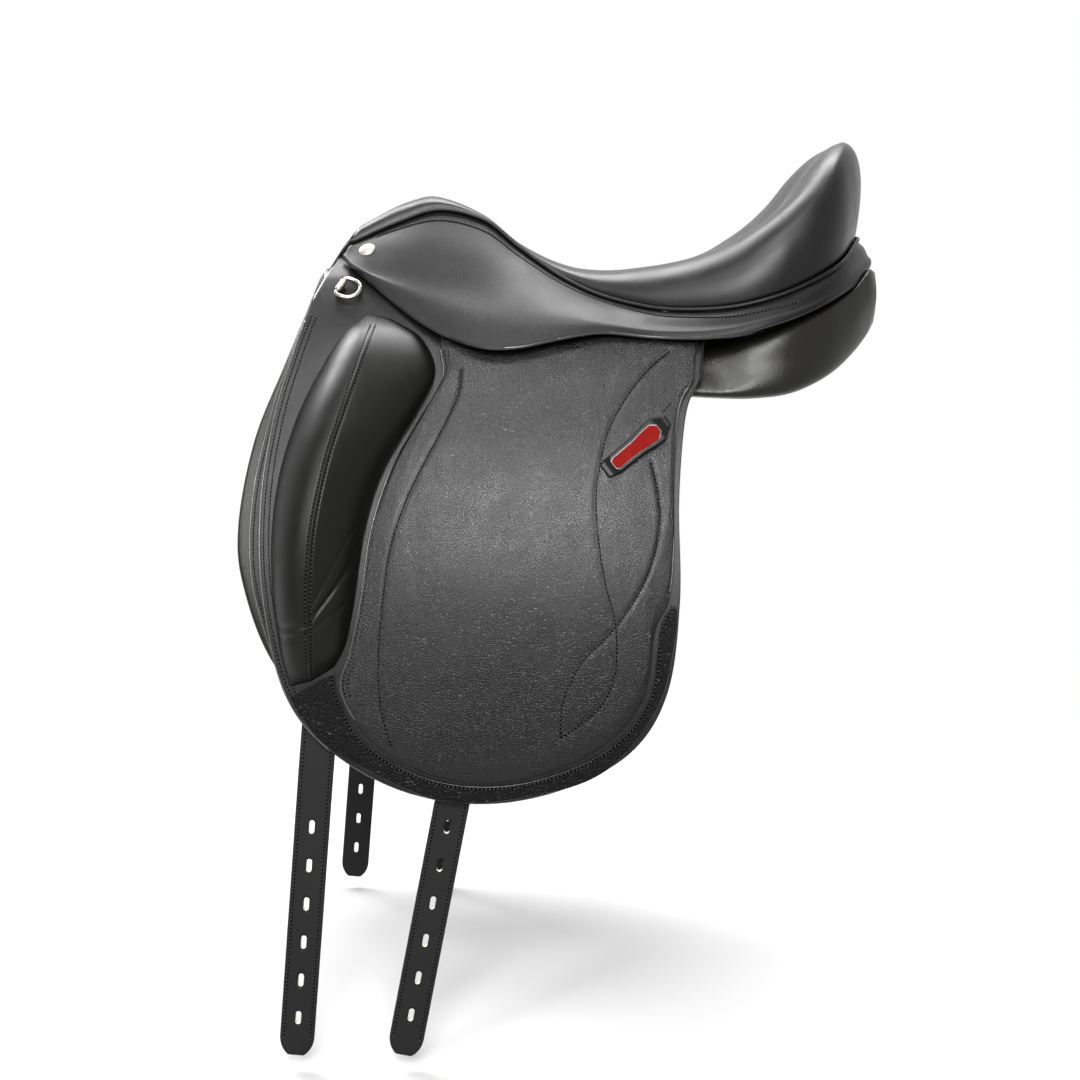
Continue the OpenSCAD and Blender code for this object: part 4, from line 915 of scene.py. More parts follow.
def stuffed(piece, held, smaller, cap_in, cap_out):
    """Swells a closed skin by cloth simulation: points in held stay, and moves from the loft are capped."""
    mesh = piece.data
    first, normal = vertex_array(mesh, "co"), vertex_array(mesh, "normal")
    start = first - smaller * MM * normal
    mesh.vertices.foreach_set("co", start.ravel())
    group = piece.vertex_groups.new(name="held")
    group.add([int(k) for k in np.flatnonzero(held)], 1.0, "REPLACE")
    cloth = piece.modifiers.new("stuffing", "CLOTH")
    cloth.settings.vertex_group_mass = "held"
    cloth.settings.use_pressure = True
    cloth.settings.uniform_pressure_force = STUFFING_PRESSURE
    cloth.settings.shrink_min = -SKIN_SLACK
    cloth.settings.effector_weights.gravity = 0
    cloth.collision_settings.use_collision = False
    scene = bpy.context.scene
    for number in range(1, CLOTH_FRAMES + 1):
        scene.frame_set(number)
    swollen = piece.evaluated_get(bpy.context.evaluated_depsgraph_get()).to_mesh()
    move = vertex_array(swollen, "co") - first
    scene.frame_set(1)
    piece.modifiers.clear()
    piece.vertex_groups.clear()
    out = np.clip((move * normal).sum(1), -cap_in * MM, cap_out * MM)[:, None] * normal
    slide = move - (move * normal).sum(1)[:, None] * normal
    slide *= np.minimum(1, cap_in * MM / np.maximum(np.linalg.norm(slide, axis=1), 1e-9))[:, None]
    change = (out + slide).reshape(PANEL_ALONG, PANEL_AROUND, 3)
    for k in range(EVENING_ROUNDS):
        change[1:-1] = (change[:-2] + 2 * change[1:-1] + change[2:]) / 4
        change = (np.roll(change, 1, 1) + 2 * change + np.roll(change, -1, 1)) / 4
    mesh.vertices.foreach_set("co", (first + change.reshape(-1, 3)).ravel())
    print(piece.name, "moved", round(float(np.abs(move).max() / MM), 1), "mm before the cap")


along, around = np.divmod(np.arange(len(panel.data.vertices)), PANEL_AROUND)
sewn_edges = (around <= PANEL_AROUND // 4) | (around == PANEL_AROUND // 2)
ends = (along == 0) | (along == PANEL_ALONG - 1)
stuffed(panel, sewn_edges | ends, smaller=1.5, cap_in=5.0, cap_out=0.4)
soft = panel.modifiers.new("soft", "SUBSURF")
soft.levels = soft.render_levels = 1
finer = applied(panel)
panel.modifiers.clear()
panel.data = finer
settle_pair(panel, SADDLE, ["panel_SIDE"])

# %% [markdown]
# ## Gullet lining and webs
# The channel between the panels is lined, and woven webs are stretched over the tree rails to carry the
# seat. Cloth could be draped over the rails, but the webs are pulled taut, so thin sheets that follow the
# rails' height are enough.

# %% Gullet lining
RAIL = [(-178, 0, 128), (-176, -30, 121), (-171, -54, 104), (-156, -67, 87), (-105, -71, 68), (-50, -72, 59),
        (0, -79, 52), (45, -90, 44.5), (85, -98, 43), (120, -99, 47), (152, -91, 56), (182, -72, 71),
        (200, -42, 86), (206, 0, 93)]
RAIL_HEIGHT = 13
RAIL_ROOM = 2.2
WEB_PLACES = [-62, 0, 62, 122]
WEB_HALF = 22
LINING, LINING_HALF_WIDTH, LINING_SAG = 2.0, 40, 8
LINING_ENDS = [-164, -120, 166, 186]
LINING_STEPS = 70
rail = np.array(RAIL, float)


def rail_z(x):
    return np.interp(x, rail[2:, 0], rail[2:, 2])


def web_z(x):
    return rail_z(x) + RAIL_HEIGHT / 2 + RAIL_ROOM


def thin_sheet(name, top, through, material):
    """Closed sheet from a grid to the same grid moved through its thickness; the borders meet half way."""
    low = top + np.array(through)
    border = np.ones(top.shape[:2], bool)
    border[1:-1, 1:-1] = False
    middle = (top + low) / 2
    top, low = (np.where(border[..., None], middle, face) for face in (top, low))
    return sheet(name, top, low, material)


lining_x = np.unique(np.concatenate([LINING_ENDS] + [[x - WEB_HALF, x, x + WEB_HALF] for x in WEB_PLACES]))
lining_x = np.interp(np.linspace(0, 1, LINING_STEPS), np.linspace(0, 1, len(lining_x)), lining_x)
lining_s = np.concatenate([[-1, -0.985], np.linspace(-0.9, 0.9, 23), [0.985, 1]])
gx, gs = np.meshgrid(lining_x, lining_s, indexing="ij")
lining_top = np.stack([gx, gs * LINING_HALF_WIDTH, web_z(gx) - LAYER_GAP - LINING_SAG * gs ** 2], -1)
lining = thin_sheet("gullet_lining_leather", lining_top, (0, 0, -LINING), PANEL_HIDE)
settle(lining, SADDLE, ["gullet_lining"])

# %% [markdown]
# The webs are four bands from rail to rail. They stay one piece, since they ride on the tree together.

# %% Seat webs
WEB = 2.0
WEB_ACROSS = np.array([-22, -21.6, -11, 0, 11, 21.6, 22])


def joined(pieces, name):
    """Several plain meshes made one."""
    shape = bmesh.new()
    for piece in pieces:
        shape.from_mesh(piece.data)
    mesh = bpy.data.meshes.new(name)
    shape.to_mesh(mesh)
    shape.free()
    for material in pieces[0].data.materials:
        mesh.materials.append(material)
    whole = bpy.data.objects.new(name, mesh)
    bpy.context.scene.collection.objects.link(whole)
    for piece in pieces:
        bpy.data.objects.remove(piece)
    return whole


webs = []
for k, x in enumerate(WEB_PLACES):
    half = abs(float(np.interp(x, rail[3:12, 0], rail[3:12, 1])))
    wx, wy = np.meshgrid(x + WEB_ACROSS, np.linspace(-half, half, 21), indexing="ij")
    web_top = np.stack([wx, wy, web_z(wx) + WEB], -1)
    webs.append(thin_sheet(f"seat_web_{k}", web_top, (0, 0, -WEB), JUTE_WEB))
settle(joined(webs, "seat_web_cloth"), SADDLE, ["seat_webs"])

# %% [markdown]
# ## Sheets on the side
# A sheet of the side is cut to a flat pattern between two edges and then laid on the side surface at its
# depth. Sewn lines could be drawn as a dark texture; here the leather is really pressed in along them, so
# that the light catches both sides of each line.

# %% Sheets on the side
PATTERN_WIDTH = 400
LINE_STEPS = 90
GROOVE_WIDTH = 1.7


def flat_grid(edges, counts, cols, rim):
    """Flat pattern through several edges in turn, with each place's distance from the nearest cut edge."""
    across = steps(cols, PATTERN_WIDTH, rim)[:, 0]
    lines = [curve(e, across) for e in edges]
    rows = []
    for k, (a, b) in enumerate(zip(lines, lines[1:])):
        t = steps(counts[k], np.maximum(np.linalg.norm(b - a, axis=1), 1), rim)
        rows.append(a[None] + (b - a)[None] * (t if k == 0 else t[1:])[..., None])
    flat = np.concatenate(rows)
    return flat, from_border(flat)


def near_line(flat, line):
    """Distance of each flat place from a line of points."""
    p = flat.reshape(-1, 2)
    best = np.full(len(p), np.inf)
    for start, along in zip(line[:-1], np.diff(line, axis=0)):
        t = np.clip(((p - start) @ along) / max(along @ along, 1e-9), 0, 1)
        best = np.minimum(best, np.linalg.norm(p - start - t[:, None] * along, axis=1))
    return best.reshape(flat.shape[:-1])


def pressed_in(flat, lines, depth):
    """How far sewn lines press into the leather."""
    press = np.zeros(flat.shape[:2])
    for line in lines:
        away = near_line(flat, curve(line, np.linspace(0, 1, LINE_STEPS)))
        press = np.maximum(press, depth * np.exp(-(away / GROOVE_WIDTH) ** 2))
    return press


def side_sheet(name, edges, counts, cols, low, high, material, lines=(), groove=0.0, rise=None):
    """Sheet on the side surface between two depths, with sewn lines pressed in and perhaps a soft rise."""
    rim = (high - low) / 2
    flat, edge = flat_grid(edges, counts, cols, rim)
    middle = (low + high) / 2
    half = rim * rounded(edge, rim)
    soft = rise(flat, edge) if rise else 0.0
    outer = on_side(flat, middle + half + soft - pressed_in(flat, lines, groove) * (edge > rim))
    inner = on_side(flat, middle - half)
    return sheet(name, outer, inner, material, edge < rim * PAINTED_RIM)


# %% [markdown]
# ## Knee panel and sweat flap
# From the horse outwards come a padded knee panel, the sweat flap, the girth straps and the flap. The knee
# panel is flat where the sweat flap lies on it and plump towards the horse. It could be blown up like the
# bearing panels, but hardly any of it shows, so a rounded depth is enough.

# %% Knee panel
KNEE_INNER = [(-216, 90), (-219, 50), (-220, 8), (-214, -24), (-140, -30), (-50, -30), (40, -30)]
KNEE_OUTER = [(-236, 94), (-262, 17), (-284, -45), (-295, -112), (-290, -160), (-266, -220), (-219, -272),
              (-164, -304), (-101, -315), (-38, -304), (10, -277), (37, -232), (46, -166), (46, -100),
              (46, -48)]
KNEE_PANEL = 14.0
KNEE_FACE, FACE_ROUND = 3.0, 6.0
KNEE_RIM, RIM_ROUND = 0.30, 4.0
KNEE_PLUMP, PLUMP_ROUND, PLUMP_POWER = 0.70, 26.0, 0.8
flat, edge = flat_grid([KNEE_INNER, KNEE_OUTER], counts=[44], cols=190, rim=5.0)
plump = KNEE_RIM * rounded(edge, RIM_ROUND) + KNEE_PLUMP * rounded(edge, PLUMP_ROUND) ** PLUMP_POWER
knee_outer = on_side(flat, PANEL_OUT - KNEE_FACE * (1 - rounded(edge, FACE_ROUND)))
knee_inner = on_side(flat, PANEL_OUT - KNEE_FACE - (KNEE_PANEL - KNEE_FACE) * plump * (edge > 0))
knee_panel = sheet("knee_panel_left_leather", knee_outer, knee_inner, PANEL_HIDE)
settle_pair(knee_panel, SADDLE, ["knee_panel_SIDE"])

# %% [markdown]
# The sweat flap keeps the straps off the horse. It is a plain hide of even thickness, so the sheet alone
# gives its shape.

# %% Sweat flap
SWEAT_TOP = [(-237, 90), (-226, 40), (-180, 24), (-60, 20), (66, 8)]
SWEAT_EDGE = [(-239, 86), (-252, 40), (-270, -20), (-283, -85), (-284, -145), (-272, -195), (-252, -243),
              (-215, -277), (-164, -308), (-101, -319), (-38, -308), (12, -280), (39, -235), (48, -168),
              (49, -90), (56, -20), (67, 2)]
sweat_flap = side_sheet("sweat_flap_left_leather", [SWEAT_TOP, SWEAT_EDGE], counts=[50], cols=190,
                        low=SWEAT_IN, high=SWEAT_OUT, material=FLAP_HIDE)
settle_pair(sweat_flap, SADDLE, ["sweat_flap_SIDE"])

# %% [markdown]
# ## Flap
# The flap is one thick hide. Its head is fixed under the skirt and the rest lifts about a fold. As with
# the skirt, two stiff pieces would gape, so the mesh runs through the fold.

# %% Flap
FLAP_FOLD = [(-240, 71), (76, 4)]
FLAP_HEAD = [(-224, 106), (-200, 93), (-150, 68), (-100, 55), (-58, 47), (0, 46.5), (36, 45), (80, 37)]
FLAP_EDGE = [(-241, 67), (-253, 27), (-267, -28), (-275, -95), (-272, -165), (-254, -240), (-219, -285),
             (-164, -317), (-101, -328), (-38, -317), (17, -287), (46, -240), (56, -168), (56, -90),
             (62.5, -25), (74, 2.5)]
PARED, PARED_FROM, PARED_OVER = 3.6, 86, 12
FLAP_FOLD_DEPTH = 3.0
FLAP_DOWN = np.array([0.0, -0.55, -0.83])


def pared_head(flat, edge):
    """The front corner of the head is pared thin where it goes under the skirt."""
    return -PARED * np.clip((flat[..., 1] - PARED_FROM) / PARED_OVER, 0, 1)


flap = side_sheet("flap_left_leather", [FLAP_HEAD, FLAP_FOLD, FLAP_EDGE], counts=[14, 70], cols=230,
                  low=-FLAP, high=0.0, material=FLAP_HIDE, rise=pared_head)
fold_front, fold_rear = on_side(np.array(FLAP_FOLD, float), FLAP_FOLD_DEPTH)
FLAP_BEND = bend_band(fold_front, fold_rear, FLAP_DOWN, before=2, after=4)
settle_pair(flap, "flap_SIDE_body", ["flap_SIDE", "flap_head_SIDE"], bend=FLAP_BEND)

# %% [markdown]
# ## Cover and wear strip
# A padded smooth cover is sewn on the flap behind the knee block. Two crossing sewn curves decorate it,
# and a strip of pebble-grained hide takes the rub of the stirrup along the lower edge. A flat cover would
# mirror the room like a board, so a broad low bulge is worked into it.

# %% Cover of the flap
COVER_HEAD = [(-131, 52), (-100, 48), (-58, 43), (0, 43), (36, 41.5), (73, 35)]
COVER_FOLD = [(-132, 47.6), (70, 5.3)]
COVER_EDGE = [(-133, 43), (-134.5, 27), (-133, 3), (-153, -32), (-174, -70), (-188, -116), (-195, -166),
              (-203, -205), (-210, -237), (-184, -277), (-133, -304), (-70, -306), (-7, -281), (27, -241),
              (36, -190), (47, -166), (51, -130), (52, -75), (57, -20), (69, 3)]
INNER_LINE = [(-117, 12), (-119, -7), (-132, -35), (-148, -65), (-162, -96), (-172, -130), (-177, -168),
              (-180, -206), (-179, -245), (-171, -280)]
CURVE_A = [(50, 26), (31, 10), (12, -14), (-1, -39), (-8, -69), (-10, -92), (-8, -122), (-3, -153), (4, -179),
           (6, -206), (3, -229), (-5, -245), (-15, -256), (-38, -273)]
CURVE_B = [(34, -60), (39, -85), (40, -107), (36, -130), (27, -153), (13, -176), (-3, -195), (-19, -210),
           (-30, -229), (-37, -248), (-38, -273)]
COVER_GROOVE = 0.6
COVER_BULGE = 3.6
BULGE_PLACE, BULGE_REACH = (-70, -130), (125, 185)
COVER_PAD = 1.2
PAD_REACH, BULGE_EDGE = 40, 12
WELL_INSIDE = 100.0


def cover_rise(flat, edge=WELL_INSIDE):
    """Soft rise of the cover: a little padding at its edge and a broad bulge where the rider's leg lies."""
    away = [(flat[..., k] - BULGE_PLACE[k]) / BULGE_REACH[k] for k in (0, 1)]
    broad = np.clip(1 - away[0] ** 2, 0, 1) * np.clip(1 - away[1] ** 2, 0, 1)
    padding = COVER_PAD * np.clip(edge / PAD_REACH, 0, 1) ** 0.5
    return padding + COVER_BULGE * broad * np.clip(edge / BULGE_EDGE, 0, 1)


cover = side_sheet("flap_cover_left_leather", [COVER_HEAD, COVER_FOLD, COVER_EDGE], counts=[16, 120],
                   cols=250, low=COVER_IN, high=COVER_OUT, material=COVER_CALF,
                   lines=[INNER_LINE, CURVE_A, CURVE_B], groove=COVER_GROOVE, rise=cover_rise)
settle_pair(cover, "flap_SIDE_body", ["flap_cover_SIDE"], bend=FLAP_BEND)

# %% [markdown]
# The strip is thin and lies beside the cover, on the flap. Its pebble grain is in the material; pebbles in
# the mesh would cost far more and look no different from here.

# %% Wear strip
STRIP_INNER = [(-215, -222), (-211, -243), (-189, -280), (-135, -308), (-69, -310), (-4, -285), (31, -243),
               (40, -188), (49, -170)]
STRIP_OUTER = [(-251, -241), (-240, -259), (-215, -284), (-137, -323), (-69, -322), (-4, -301), (38, -250),
               (52, -196), (54, -172)]
STRIP = 1.8
wear_strip = side_sheet("wear_strip_left_leather", [STRIP_INNER, STRIP_OUTER], counts=[14], cols=200,
                        low=COVER_IN, high=COVER_IN + STRIP, material=GRAINED_HIDE)
settle_pair(wear_strip, "flap_SIDE_body", ["wear_strip_SIDE"])

# %% [markdown]
# ## Knee block
# A large foam bolster under soft calf. Its front slope is long, its rear face is steep, a seam runs down
# the crest, and the leather gathers in a few folds near the foot. It could be sculpted; working out its
# cross-section at each step down, from three lines, lets the stitches find the same surface later.

# %% Form of the knee block
BLOCK_FRONT = [(-196, 55), (-213, 40), (-229, 14), (-247, -24), (-260, -70), (-265, -118), (-263, -165),
               (-257, -207), (-250, -233)]
BLOCK_CREST = [(-187, 54), (-191, 35), (-197, 12), (-205, -14), (-217, -54), (-227, -106), (-231, -160),
               (-232, -198), (-233, -229)]
BLOCK_REAR = [(-176, 52), (-150, 36), (-138, 10), (-149, -18), (-177, -67), (-191, -112), (-199, -166),
              (-206, -200), (-215, -218)]
BLOCK_SHARE = [0.14, 0.55, 0.78, 0.92, 1, 1, 0.82, 0.5, 0.12]
BLOCK_HEIGHT, BLOCK_LEAST = 46, 3
FRONT_SLOPE, REAR_SLOPE = (1.3, 0.75), (1.1, 0.65)
REAR_HOLLOW = 0.12
BLOCK_SKIN = 0.8
# Each crease: share down the block, width, depth and slope.
CREASES = [(0.80, 0.006, 1.5, 0.22), (0.816, 0.006, 1.3, 0.28), (0.834, 0.007, 1.1, 0.16),
           (0.784, 0.006, 0.9, 0.34)]
CREASE_RUN = 0.6
CREASE_FRONT = -0.1
SEAM_HALF = 2.0
SEAM_PRESS, SEAM_WIDTH = 0.6, 0.7
SEAM_RIDGE, RIDGE_WIDTH = 0.3, 1.1
DETAIL_FROM = 8


def slope(share, powers):
    """Height of a side of the block, from 1 at the crest to 0 at its foot."""
    return np.cos(np.pi / 2 * share ** powers[0]).clip(0) ** powers[1]


def block_place(t, w):
    """Flat place and depth on the knee block: t runs down it, w from front foot over crest to rear foot."""
    share = np.abs(w)
    crest = curve(BLOCK_CREST, t)
    foot = np.where(w[..., None] < 0, curve(BLOCK_FRONT, t), curve(BLOCK_REAR, t))
    flat = mix(crest, foot, share[..., None])
    height = np.maximum(BLOCK_HEIGHT * curve(BLOCK_SHARE, t), BLOCK_LEAST)
    rear = slope(share, REAR_SLOPE) * (1 - REAR_HOLLOW * np.sin(np.pi * share))
    lift = height * np.where(w <= 0, slope(share, FRONT_SLOPE), rear)
    away = np.linalg.norm(flat - crest, axis=-1)
    run = np.clip(w, CREASE_FRONT, 1)
    folds = sum(deep * np.exp(-((t + lean * run * CREASE_RUN - at) / wide) ** 2)
                for at, wide, deep, lean in CREASES)
    sewn = SEAM_PRESS * np.exp(-((away - SEAM_HALF) / SEAM_WIDTH) ** 2)
    sewn = sewn - SEAM_RIDGE * np.exp(-(away / RIDGE_WIDTH) ** 2)
    return flat, COVER_IN + lift + BLOCK_SKIN - (folds + sewn) * np.clip(lift / DETAIL_FROM, 0, 1)


print("knee block", BLOCK_HEIGHT, "mm high with", len(CREASES), "creases")

# %% [markdown]
# The block's grid has more columns near the crest, where the seam is, and its two ends are rounded off so
# that it lies down on the flap.

# %% Knee block
BLOCK_ROWS = 220
BLOCK_HALF = 60
BLOCK_END = 16.0
CREST_CLOSENESS = 1.3
w = np.linspace(-1, 1, 2 * BLOCK_HALF + 1)
tt, ww = np.meshgrid(np.linspace(0, 1, BLOCK_ROWS), np.sign(w) * np.abs(w) ** CREST_CLOSENESS, indexing="ij")
block_flat, block_depth = block_place(tt, ww)
block_inner = on_side(block_flat, COVER_IN + 0 * block_depth)
down = lengths(block_inner)[0]
block_ends = rounded(np.minimum(down, down[-1] - down), BLOCK_END) * (np.abs(ww) < 1)
block_outer = on_side(block_flat, COVER_IN + (block_depth - COVER_IN) * block_ends)
block = sheet("knee_block_left_leather", block_outer, block_inner, BLOCK_CALF)
settle_pair(block, "flap_SIDE_body", ["knee_block_SIDE"])

# %% [markdown]
# ## Keeper
# A short strap that holds the end of the stirrup leather. It is sewn down at both ends, stands off the
# cover between them and carries a plain red insert in a thin frame. All three are small straps that
# follow the cover, so one function makes them from their half widths.

# %% Keeper
KEEPER_PLACE = np.array([22.0, -47.0])
KEEPER_TURN = math.radians(38)
KEEPER_OUTLINE = [(-32, 5.5), (-29, 7.2), (-20, 7.8), (2, 8.2), (14, 10), (22, 10.2), (32, 4)]
BADGE_OUTLINE = [(-23, 3), (-21, 4.4), (0, 4.8), (8, 6), (17, 6.4), (22, 2.6)]
KEEPER_LENGTH, KEEPER, KEEPER_GAP, KEEPER_FOOT, KEEPER_SEWN = 64.0, 3.0, 3.6, 10.0, 4
KEEPER_LOW = 0.3
BADGE, BEZEL, BEZEL_EDGE, SUNK = 1.2, 0.7, 0.7, 0.1
keeper_along = np.array([math.cos(KEEPER_TURN), math.sin(KEEPER_TURN)])
keeper_across = np.array([-math.sin(KEEPER_TURN), math.cos(KEEPER_TURN)])


def keeper_lift(s):
    """The strap rises from its sewn ends to its full gap."""
    inner = KEEPER_LENGTH / 2 - KEEPER_FOOT
    ramp = np.clip((KEEPER_LENGTH / 2 - KEEPER_SEWN - np.abs(s)) / (KEEPER_FOOT - KEEPER_SEWN), 0, 1)
    return KEEPER_GAP * np.where(np.abs(s) > inner, ramp, 1.0)


def badge_lift(s):
    return KEEPER_GAP + 0 * s


def tab(name, outline, low, thick, material, lift):
    """Small strap with round edges on the keeper's place; the outline gives half widths along it."""
    rim = thick / 2
    ends, widths = np.array(outline, float).T
    s = mix(ends[0], ends[-1], steps(60, ends[-1] - ends[0], rim)[:, 0])
    v = steps(20, 2 * widths.max(), rim)[:, 0] * 2 - 1
    ss, vv = np.meshgrid(s, v, indexing="ij")
    half_width = np.interp(ss, ends, widths)
    flat = KEEPER_PLACE + ss[..., None] * keeper_along + (vv * half_width)[..., None] * keeper_across
    edge = np.minimum(np.minimum(ss - ends[0], ends[-1] - ss), half_width * (1 - np.abs(vv)))
    half = rim * rounded(edge, rim)
    base = COVER_OUT + cover_rise(flat) + low + lift(ss) + rim
    return sheet(name, on_side(flat, base + half), on_side(flat, base - half), material)


keeper = tab("keeper_left_leather", KEEPER_OUTLINE, KEEPER_LOW, KEEPER, BLOCK_CALF, keeper_lift)
settle_pair(keeper, "flap_SIDE_body", ["keeper_SIDE"])
bezel_low = KEEPER_LOW + KEEPER - SUNK
badge_low = bezel_low + BEZEL - SUNK
badge = tab("keeper_badge_left_enamel", BADGE_OUTLINE, badge_low, BADGE, RED_ENAMEL, badge_lift)
settle_pair(badge, "flap_SIDE_body", ["keeper_badge_SIDE"])
bezel_outline = [(s + BEZEL_EDGE * np.sign(s), w + BEZEL_EDGE) for s, w in BADGE_OUTLINE]
bezel = tab("keeper_bezel_left_nickel", bezel_outline, bezel_low, BEZEL, DARK_NICKEL, badge_lift)
trim_pair(bezel, "flap_SIDE_body")

# %% [markdown]
# ## Sealed edges
# The cut edges at the front are painted, heated and rubbed until they shine. Seen from the side each is a
# thin light line, one behind the other. The lighter colour on the rounded edge, a painted highlight, is too
# narrow to show at this distance, so a thin bead along the edge in the same colour gives that line.

# %% Sealed edges
BEAD = 0.9
BEAD_INSET = 0.7
# Each bead: name, edge, first and last share of it, depth and body.
BEADS = [("cover_bead_left", COVER_EDGE, 0.05, 0.45, COVER_OUT - 0.3, "flap_SIDE_body"),
         ("cover_rear_bead_left", COVER_EDGE, 0.80, 0.985, COVER_OUT - 0.3, "flap_SIDE_body"),
         ("flap_bead_left", FLAP_EDGE, 0.03, 0.40, -0.5, "flap_SIDE_body"),
         ("sweat_bead_left", SWEAT_EDGE, 0.02, 0.42, SWEAT_OUT - 0.5, SADDLE)]


def offset(line, shift, first=0.0, last=1.0, count=160):
    """A line moved square to itself within its flat pattern, and cut to a share of its length."""
    p = curve(line, np.linspace(first, last, count))
    along = np.gradient(p, axis=0)
    along /= np.linalg.norm(along, axis=1)[:, None]
    return p + shift * np.stack([-along[:, 1], along[:, 0]], 1)


# Each bead has the sealed edge colour, lighter than the leather: a painted highlight along the edge.
for bead_name, bead_edge, first, last, depth, body in BEADS:
    bead_path = on_side(offset(bead_edge, BEAD_INSET, first, last, count=140), depth)
    trim_pair(tube(bead_name, bead_path, BEAD, EDGE_PAINT_AND_HIGHLIGHT, sides=8), body)

# %% [markdown]
# ## Girth straps
# Long straps of waxed hide over a pale nylon core, with a row of buckle holes. The holes could be a dark
# texture, but the core shows as a light rim inside each one. So they are really cut, and the cutters
# carry the core's material and leave it on the cut faces.

# %% Form of the girth straps
PIVOT_Z = 10.0
STRAP_TIP = -540.0
STRAP_WIDTH = 28.0
STRAP_RIM = 1.4
TIP, TIP_BLUNT = 16.0, 0.84
HEAD_STEPS, STRAP_STEPS, TIP_STEPS = 12, 120, 10
STRAPS = {"front": (-204.0, math.radians(5)), "rear": (-58.0, math.radians(11))}
STRAP_MIDDLE = (STRAP_OUT + STRAP_IN) / 2


def strap_frame(pivot, lean, s, w):
    """Flat place a distance s down a strap and w across it."""
    x = pivot - s * math.sin(lean) + w * math.cos(lean)
    z = PIVOT_Z - s * math.cos(lean) - w * math.sin(lean)
    return np.stack([x, z], -1)


def strap_length(lean):
    return (PIVOT_Z - STRAP_TIP) / math.cos(lean)


def strap_half_width(s, full):
    head = np.sqrt(np.clip(1 - np.clip(-s / (STRAP_WIDTH / 2), 0, 1) ** 2, 0, 1))
    tip = np.sqrt(np.clip(1 - np.clip((s - full + TIP) / TIP, 0, 1) ** 2 * TIP_BLUNT, 0, 1))
    return STRAP_WIDTH / 2 * head * tip


def strap_sheet(name, pivot, lean):
    """Strap with a round head and a blunt tip, its steps close together at both."""
    full = strap_length(lean)
    head = -STRAP_WIDTH / 2 * np.cos(np.linspace(0.02, np.pi / 2, HEAD_STEPS))
    tip = full - TIP + TIP * np.sin(np.linspace(0.1, np.pi / 2, TIP_STEPS))
    s = np.concatenate([head, np.linspace(4, full - TIP, STRAP_STEPS), tip])
    v = steps(10, STRAP_WIDTH, STRAP_RIM)[:, 0] * 2 - 1
    ss, vv = np.meshgrid(s, v, indexing="ij")
    flat = strap_frame(pivot, lean, ss, vv * strap_half_width(ss, full))
    edge = np.minimum((1 - np.abs(vv)) * STRAP_WIDTH / 2, np.minimum(ss - s[0], s[-1] - ss))
    half = STRAP / 2 * rounded(edge, STRAP_RIM)
    return sheet(name, on_side(flat, STRAP_MIDDLE + half), on_side(flat, STRAP_MIDDLE - half), STRAP_HIDE)


print("straps", {which: round(strap_length(lean)) for which, (pivot, lean) in STRAPS.items()}, "mm long")

# %% [markdown]
# The holes are cut by a Boolean modifier, all of a strap at once, and the result replaces the strap's
# mesh, because a live modifier would not ride on its body.

# %% Girth straps
FIRST_HOLE = -348.0
HOLE_PITCH, HOLE_WIDTH, HOLE_LENGTH, HOLE_COUNT = 32.0, 4.4, 11.0, 6
CUT_BEYOND = 6.0


def hole_cutter(pivot, lean, s):
    """Long round-ended bar through the strap."""
    turn = np.linspace(0, np.pi, 9)
    straight = (HOLE_LENGTH - HOLE_WIDTH) / 2
    top = np.stack([-straight - HOLE_WIDTH / 2 * np.sin(turn), HOLE_WIDTH / 2 * np.cos(turn)], 1)
    ring = np.concatenate([top, -top])
    flat = strap_frame(pivot, lean, s + ring[:, 0], ring[:, 1])
    n = len(ring)
    outside = on_side(flat, STRAP_OUT + CUT_BEYOND)
    inside = on_side(flat, STRAP_IN - CUT_BEYOND)
    faces = [list(range(n)), list(range(2 * n - 1, n - 1, -1))]
    faces += [[j, (j + 1) % n, n + (j + 1) % n, n + j] for j in range(n)]
    return new_piece("hole_cutter", np.concatenate([outside, inside]), faces, NYLON_CORE)


for which, (pivot, lean) in STRAPS.items():
    strap = strap_sheet(f"billet_{which}_left_leather", pivot, lean)
    first = (PIVOT_Z - FIRST_HOLE) / math.cos(lean)
    cutters = joined([hole_cutter(pivot, lean, first + k * HOLE_PITCH) for k in range(HOLE_COUNT)],
                     "hole_cutters")
    cut = strap.modifiers.new("holes", "BOOLEAN")
    cut.operation = "DIFFERENCE"
    cut.solver = "EXACT"
    cut.object = cutters
    cut.material_mode = "TRANSFER"
    holed = applied(strap)
    strap.modifiers.clear()
    strap.data = holed
    holed.shade_smooth()
    bpy.data.objects.remove(cutters)
    settle_pair(strap, f"billet_{which}_SIDE_body", [f"billet_{which}_SIDE"])

# %% [markdown]
# ## Girth webs
# Woven webs run from the tree rails down to the heads of the straps. They are taut and hidden, so four
# places along each are enough: strap head, the bend above it, half way and rail.

